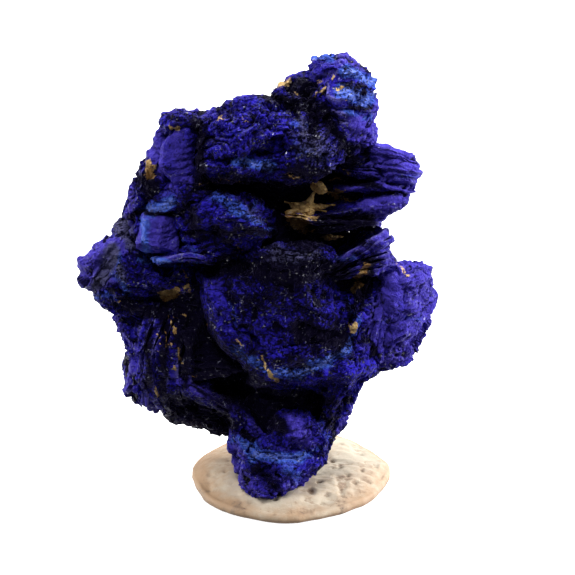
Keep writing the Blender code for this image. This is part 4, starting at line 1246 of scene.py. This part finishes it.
def patSkin():
    # Rings that widen over the top, where the height is thickness - (thickness - lip) * share^5, go
    # round the edge on a half ellipse and close underneath. Dents, pleats and pits raise or lower the
    # top by noise that fades out at the edge.
    salt = pat["salt"]
    turns = tau * np.arange(pat["columns"]) / pat["columns"]
    circle = np.stack([np.cos(turns), np.sin(turns)])
    spread = (np.abs(circle) ** pat["square"]).sum(0) ** (-1 / pat["square"])
    spread += 0.02 * np.sin(2 * turns - 0.6) + 0.015 * np.sin(3 * turns + 2.1) + 0.012 * np.sin(7 * turns)
    spread += 0.012 * bumps(np.stack([*(6 * circle), 0 * turns], -1), 1.1, salt + 25)
    rim = 2 * pat["rim"] / sum(pat["radii"])
    top, lip = pat["thickness"], pat["lip"]
    over = np.linspace(0.01, 1 - rim, pat["over"])
    roll = np.linspace(0, math.pi, pat["round"])[1:]
    under = np.linspace(0.88, 0.02, pat["under"])
    share = np.concatenate([over, 1 - rim + rim * np.sin(roll), under])[:, None]
    crown = top - (top - lip) * (over / over[-1]) ** 5
    height = np.concatenate([crown, lip * (1 + np.cos(roll)) / 2, 0 * under])
    free = np.concatenate([ease(1.0, 0.86, over), 0 * roll, 0 * under])[:, None]
    x = pat["radii"][0] * share * spread * circle[0]
    y = pat["radii"][1] * share * spread * circle[1]
    flat = np.stack([x, y, np.full_like(x, 4.0)], -1)
    dimple, pore = bumps(flat, 1.3, salt + 3), bumps(flat, 0.55, salt + 15)
    dents = 0.28 * fractal(flat, 2.4, 4, salt) - 0.16 * ease(0.2, 0.7, dimple)
    pleatWay = x * 0.30 + y * 0.95 + 0.9 * bumps(flat, 2.5, salt + 10)
    pleats = 0.06 * np.sin(pleatWay * 6.4) * ease(1.0, 3.5, x)
    pleats = pleats * ease(-0.4, 0.3, bumps(flat, 2.0, salt + 12))
    z = height[:, None] + free * (dents + pleats - 0.16 * ease(0.45, 0.7, pore))
    side = 0.05 * fractal(np.stack([x, y, z], -1), 1.2, 3, salt + 20) * (1 - free) * (z > 0.01)
    points = np.stack([x * (1 + side / 4), y * (1 + side / 4) + pat["shift"], np.maximum(z, 0)], -1)
    wear = np.zeros((*z.shape, 4))
    wear[..., 0] = (1 - free) * ease(lip, 0, z)
    # the second channel: the outer edge, and the left side, where it is a painted shadow of the cluster
    wear[..., 1] = ease(0.80, 1.0, share) + 0.9 * ease(0, -6, x)
    wear[..., 2] = ease(0.35, 0.6, dimple) + ease(0.45, 0.7, pore)
    return gridSkin(points, wear, {"dust": 0, "clay": 0, "violet": 0, "green": 0, "dark": 0})


puttyLook = {
    "pale": colour(0.50, 0.435, 0.340),
    "warm": colour(0.38, 0.245, 0.145),
    "grime": colour(0.26, 0.18, 0.12),
    "speck": colour(0.03, 0.02, 0.03),
    "broadScale": 0.28,  # waves for each mm
    "fineScale": 2.0,
    "gritScale": 9.0,
    "bumpDepth": 0.0002,  # metres
}


def makePutty():
    look = puttyLook
    material, shader, start, spot = startMaterial("pressedPutty", {"Specular IOR Level": 0.35})
    down, edge, hollow = start.attribute("wear")[:3]
    broad, grit = spot.noise(look["broadScale"]), spot.noise(look["gritScale"])
    fine = spot.noise(look["fineScale"], 4.0)
    # warmer towards the edge and on the left, where painted shade stands for the cluster's shadow
    body = (broad * 0.9 + fine * 0.4 + edge * 0.3).between(0.55, 1.15).mixed(look["pale"], look["warm"])
    for cover, name in (
        ((down * 0.8 + fine * 0.3 - 0.2).between(0.1, 0.8), "warm"),
        ((fine * 0.7 + broad * 0.6 + hollow * 0.16).between(0.74, 0.98), "grime"),
        ((grit * 0.8 + fine * 0.5 + hollow * 0.05).between(0.86, 0.90), "speck"),
    ):
        body = cover.mixed(body, look[name])
    bumpLinks = {"Strength": 0.6, "Distance": look["bumpDepth"], "Height": fine * 0.6 + grit * 0.35}
    bump = start.node("ShaderNodeBump", None, bumpLinks)
    plug(shader, start, {"Base Color": body, "Roughness": 0.45 + fine * 0.25, "Normal": bump})
    return material


putty = makePutty()
patPiece = place("puttyPat", [patSkin()], putty, "putty_pad")
patPiece.data.shade_smooth()
print("putty pressed")

# floor, light and camera
studio = {
    "floorSize": 4.0,  # metres, as are all lengths here unless they say otherwise
    "floorColour": colour(0.9, 0.9, 0.9),
    "floorGlow": 0.75,
    "world": 0.10,
    "aim": (0, 0, 0.018),  # what the lamps point at
    "distance": 0.250,  # from the camera to the specimen
    "pixels": 575,
    "pixel": 0.075 * mm,  # what one pixel shows
    "middle": (-2.5, 202.5),  # pixels right and up from the origin to the middle of the picture
    "sensor": 36,  # mm
}
# name, place in metres, size, power
lamps = [
    ("keyBox", (-0.06, -0.26, 0.42), 0.16, 1.9),
    ("topBox", (0.04, 0.20, 0.36), 0.34, 3.0),
    ("leftBox", (-0.36, 0.10, 0.10), 0.30, 1.6),
    ("rightBox", (0.36, 0.02, 0.14), 0.30, 3.0),
]


def makeFloor():
    mesh = bpy.data.meshes.new("floor")
    size = studio["floorSize"]
    corners = [(-size, -size, 0), (size, -size, 0), (size, size, 0), (-size, size, 0)]
    mesh.from_pydata(corners, [], [(0, 1, 2, 3)])
    mesh.materials.append(startMaterial("paleFloor", {
        "Base Color": studio["floorColour"],
        "Roughness": 0.9,
        "Emission Color": colour(1, 1, 1),
        "Emission Strength": studio["floorGlow"],
    })[0])
    floor = bpy.data.objects.new("floor", mesh)
    floor.visible_diffuse = False
    bpy.context.scene.collection.objects.link(floor)


def makeLamp(name, spot, size, power):
    lamp = bpy.data.lights.new(name, "AREA")
    lamp.shape, lamp.size, lamp.energy = "DISK", size, power
    holder = bpy.data.objects.new(name, lamp)
    holder.location = spot
    holder.rotation_euler = (Vector(studio["aim"]) - Vector(spot)).to_track_quat("-Z", "Y").to_euler()
    bpy.context.scene.collection.objects.link(holder)


def makeCamera():
    # the lens is to the sensor as the distance is to the width that the picture shows
    pixel, (right, up) = studio["pixel"], studio["middle"]
    target = Vector((right * pixel, 0, up * pixel / viewCos))
    data = bpy.data.cameras.new("camera")
    data.sensor_width = studio["sensor"]
    data.lens = studio["sensor"] * studio["distance"] / (studio["pixels"] * pixel)
    data.clip_start, data.clip_end = 0.01, 20
    camera = bpy.data.objects.new("camera", data)
    back = Vector((0, -viewCos, viewSin))
    camera.location = target + back * studio["distance"]
    camera.rotation_euler = (-back).to_track_quat("-Z", "Y").to_euler()
    bpy.context.scene.collection.objects.link(camera)
    bpy.context.scene.camera = camera


makeFloor()
for lampValues in lamps:
    makeLamp(*lampValues)
world = bpy.data.worlds.new("studio")
world.use_nodes = True
world.node_tree.nodes["Background"].inputs["Strength"].default_value = studio["world"]
world.node_tree.nodes["Background"].inputs["Color"].default_value = (1, 1, 1, 1)
bpy.context.scene.world = world
bpy.context.scene.view_settings.view_transform = "Standard"
makeCamera()
print("studio set,", sum(faceCount.values()), "triangles in all")
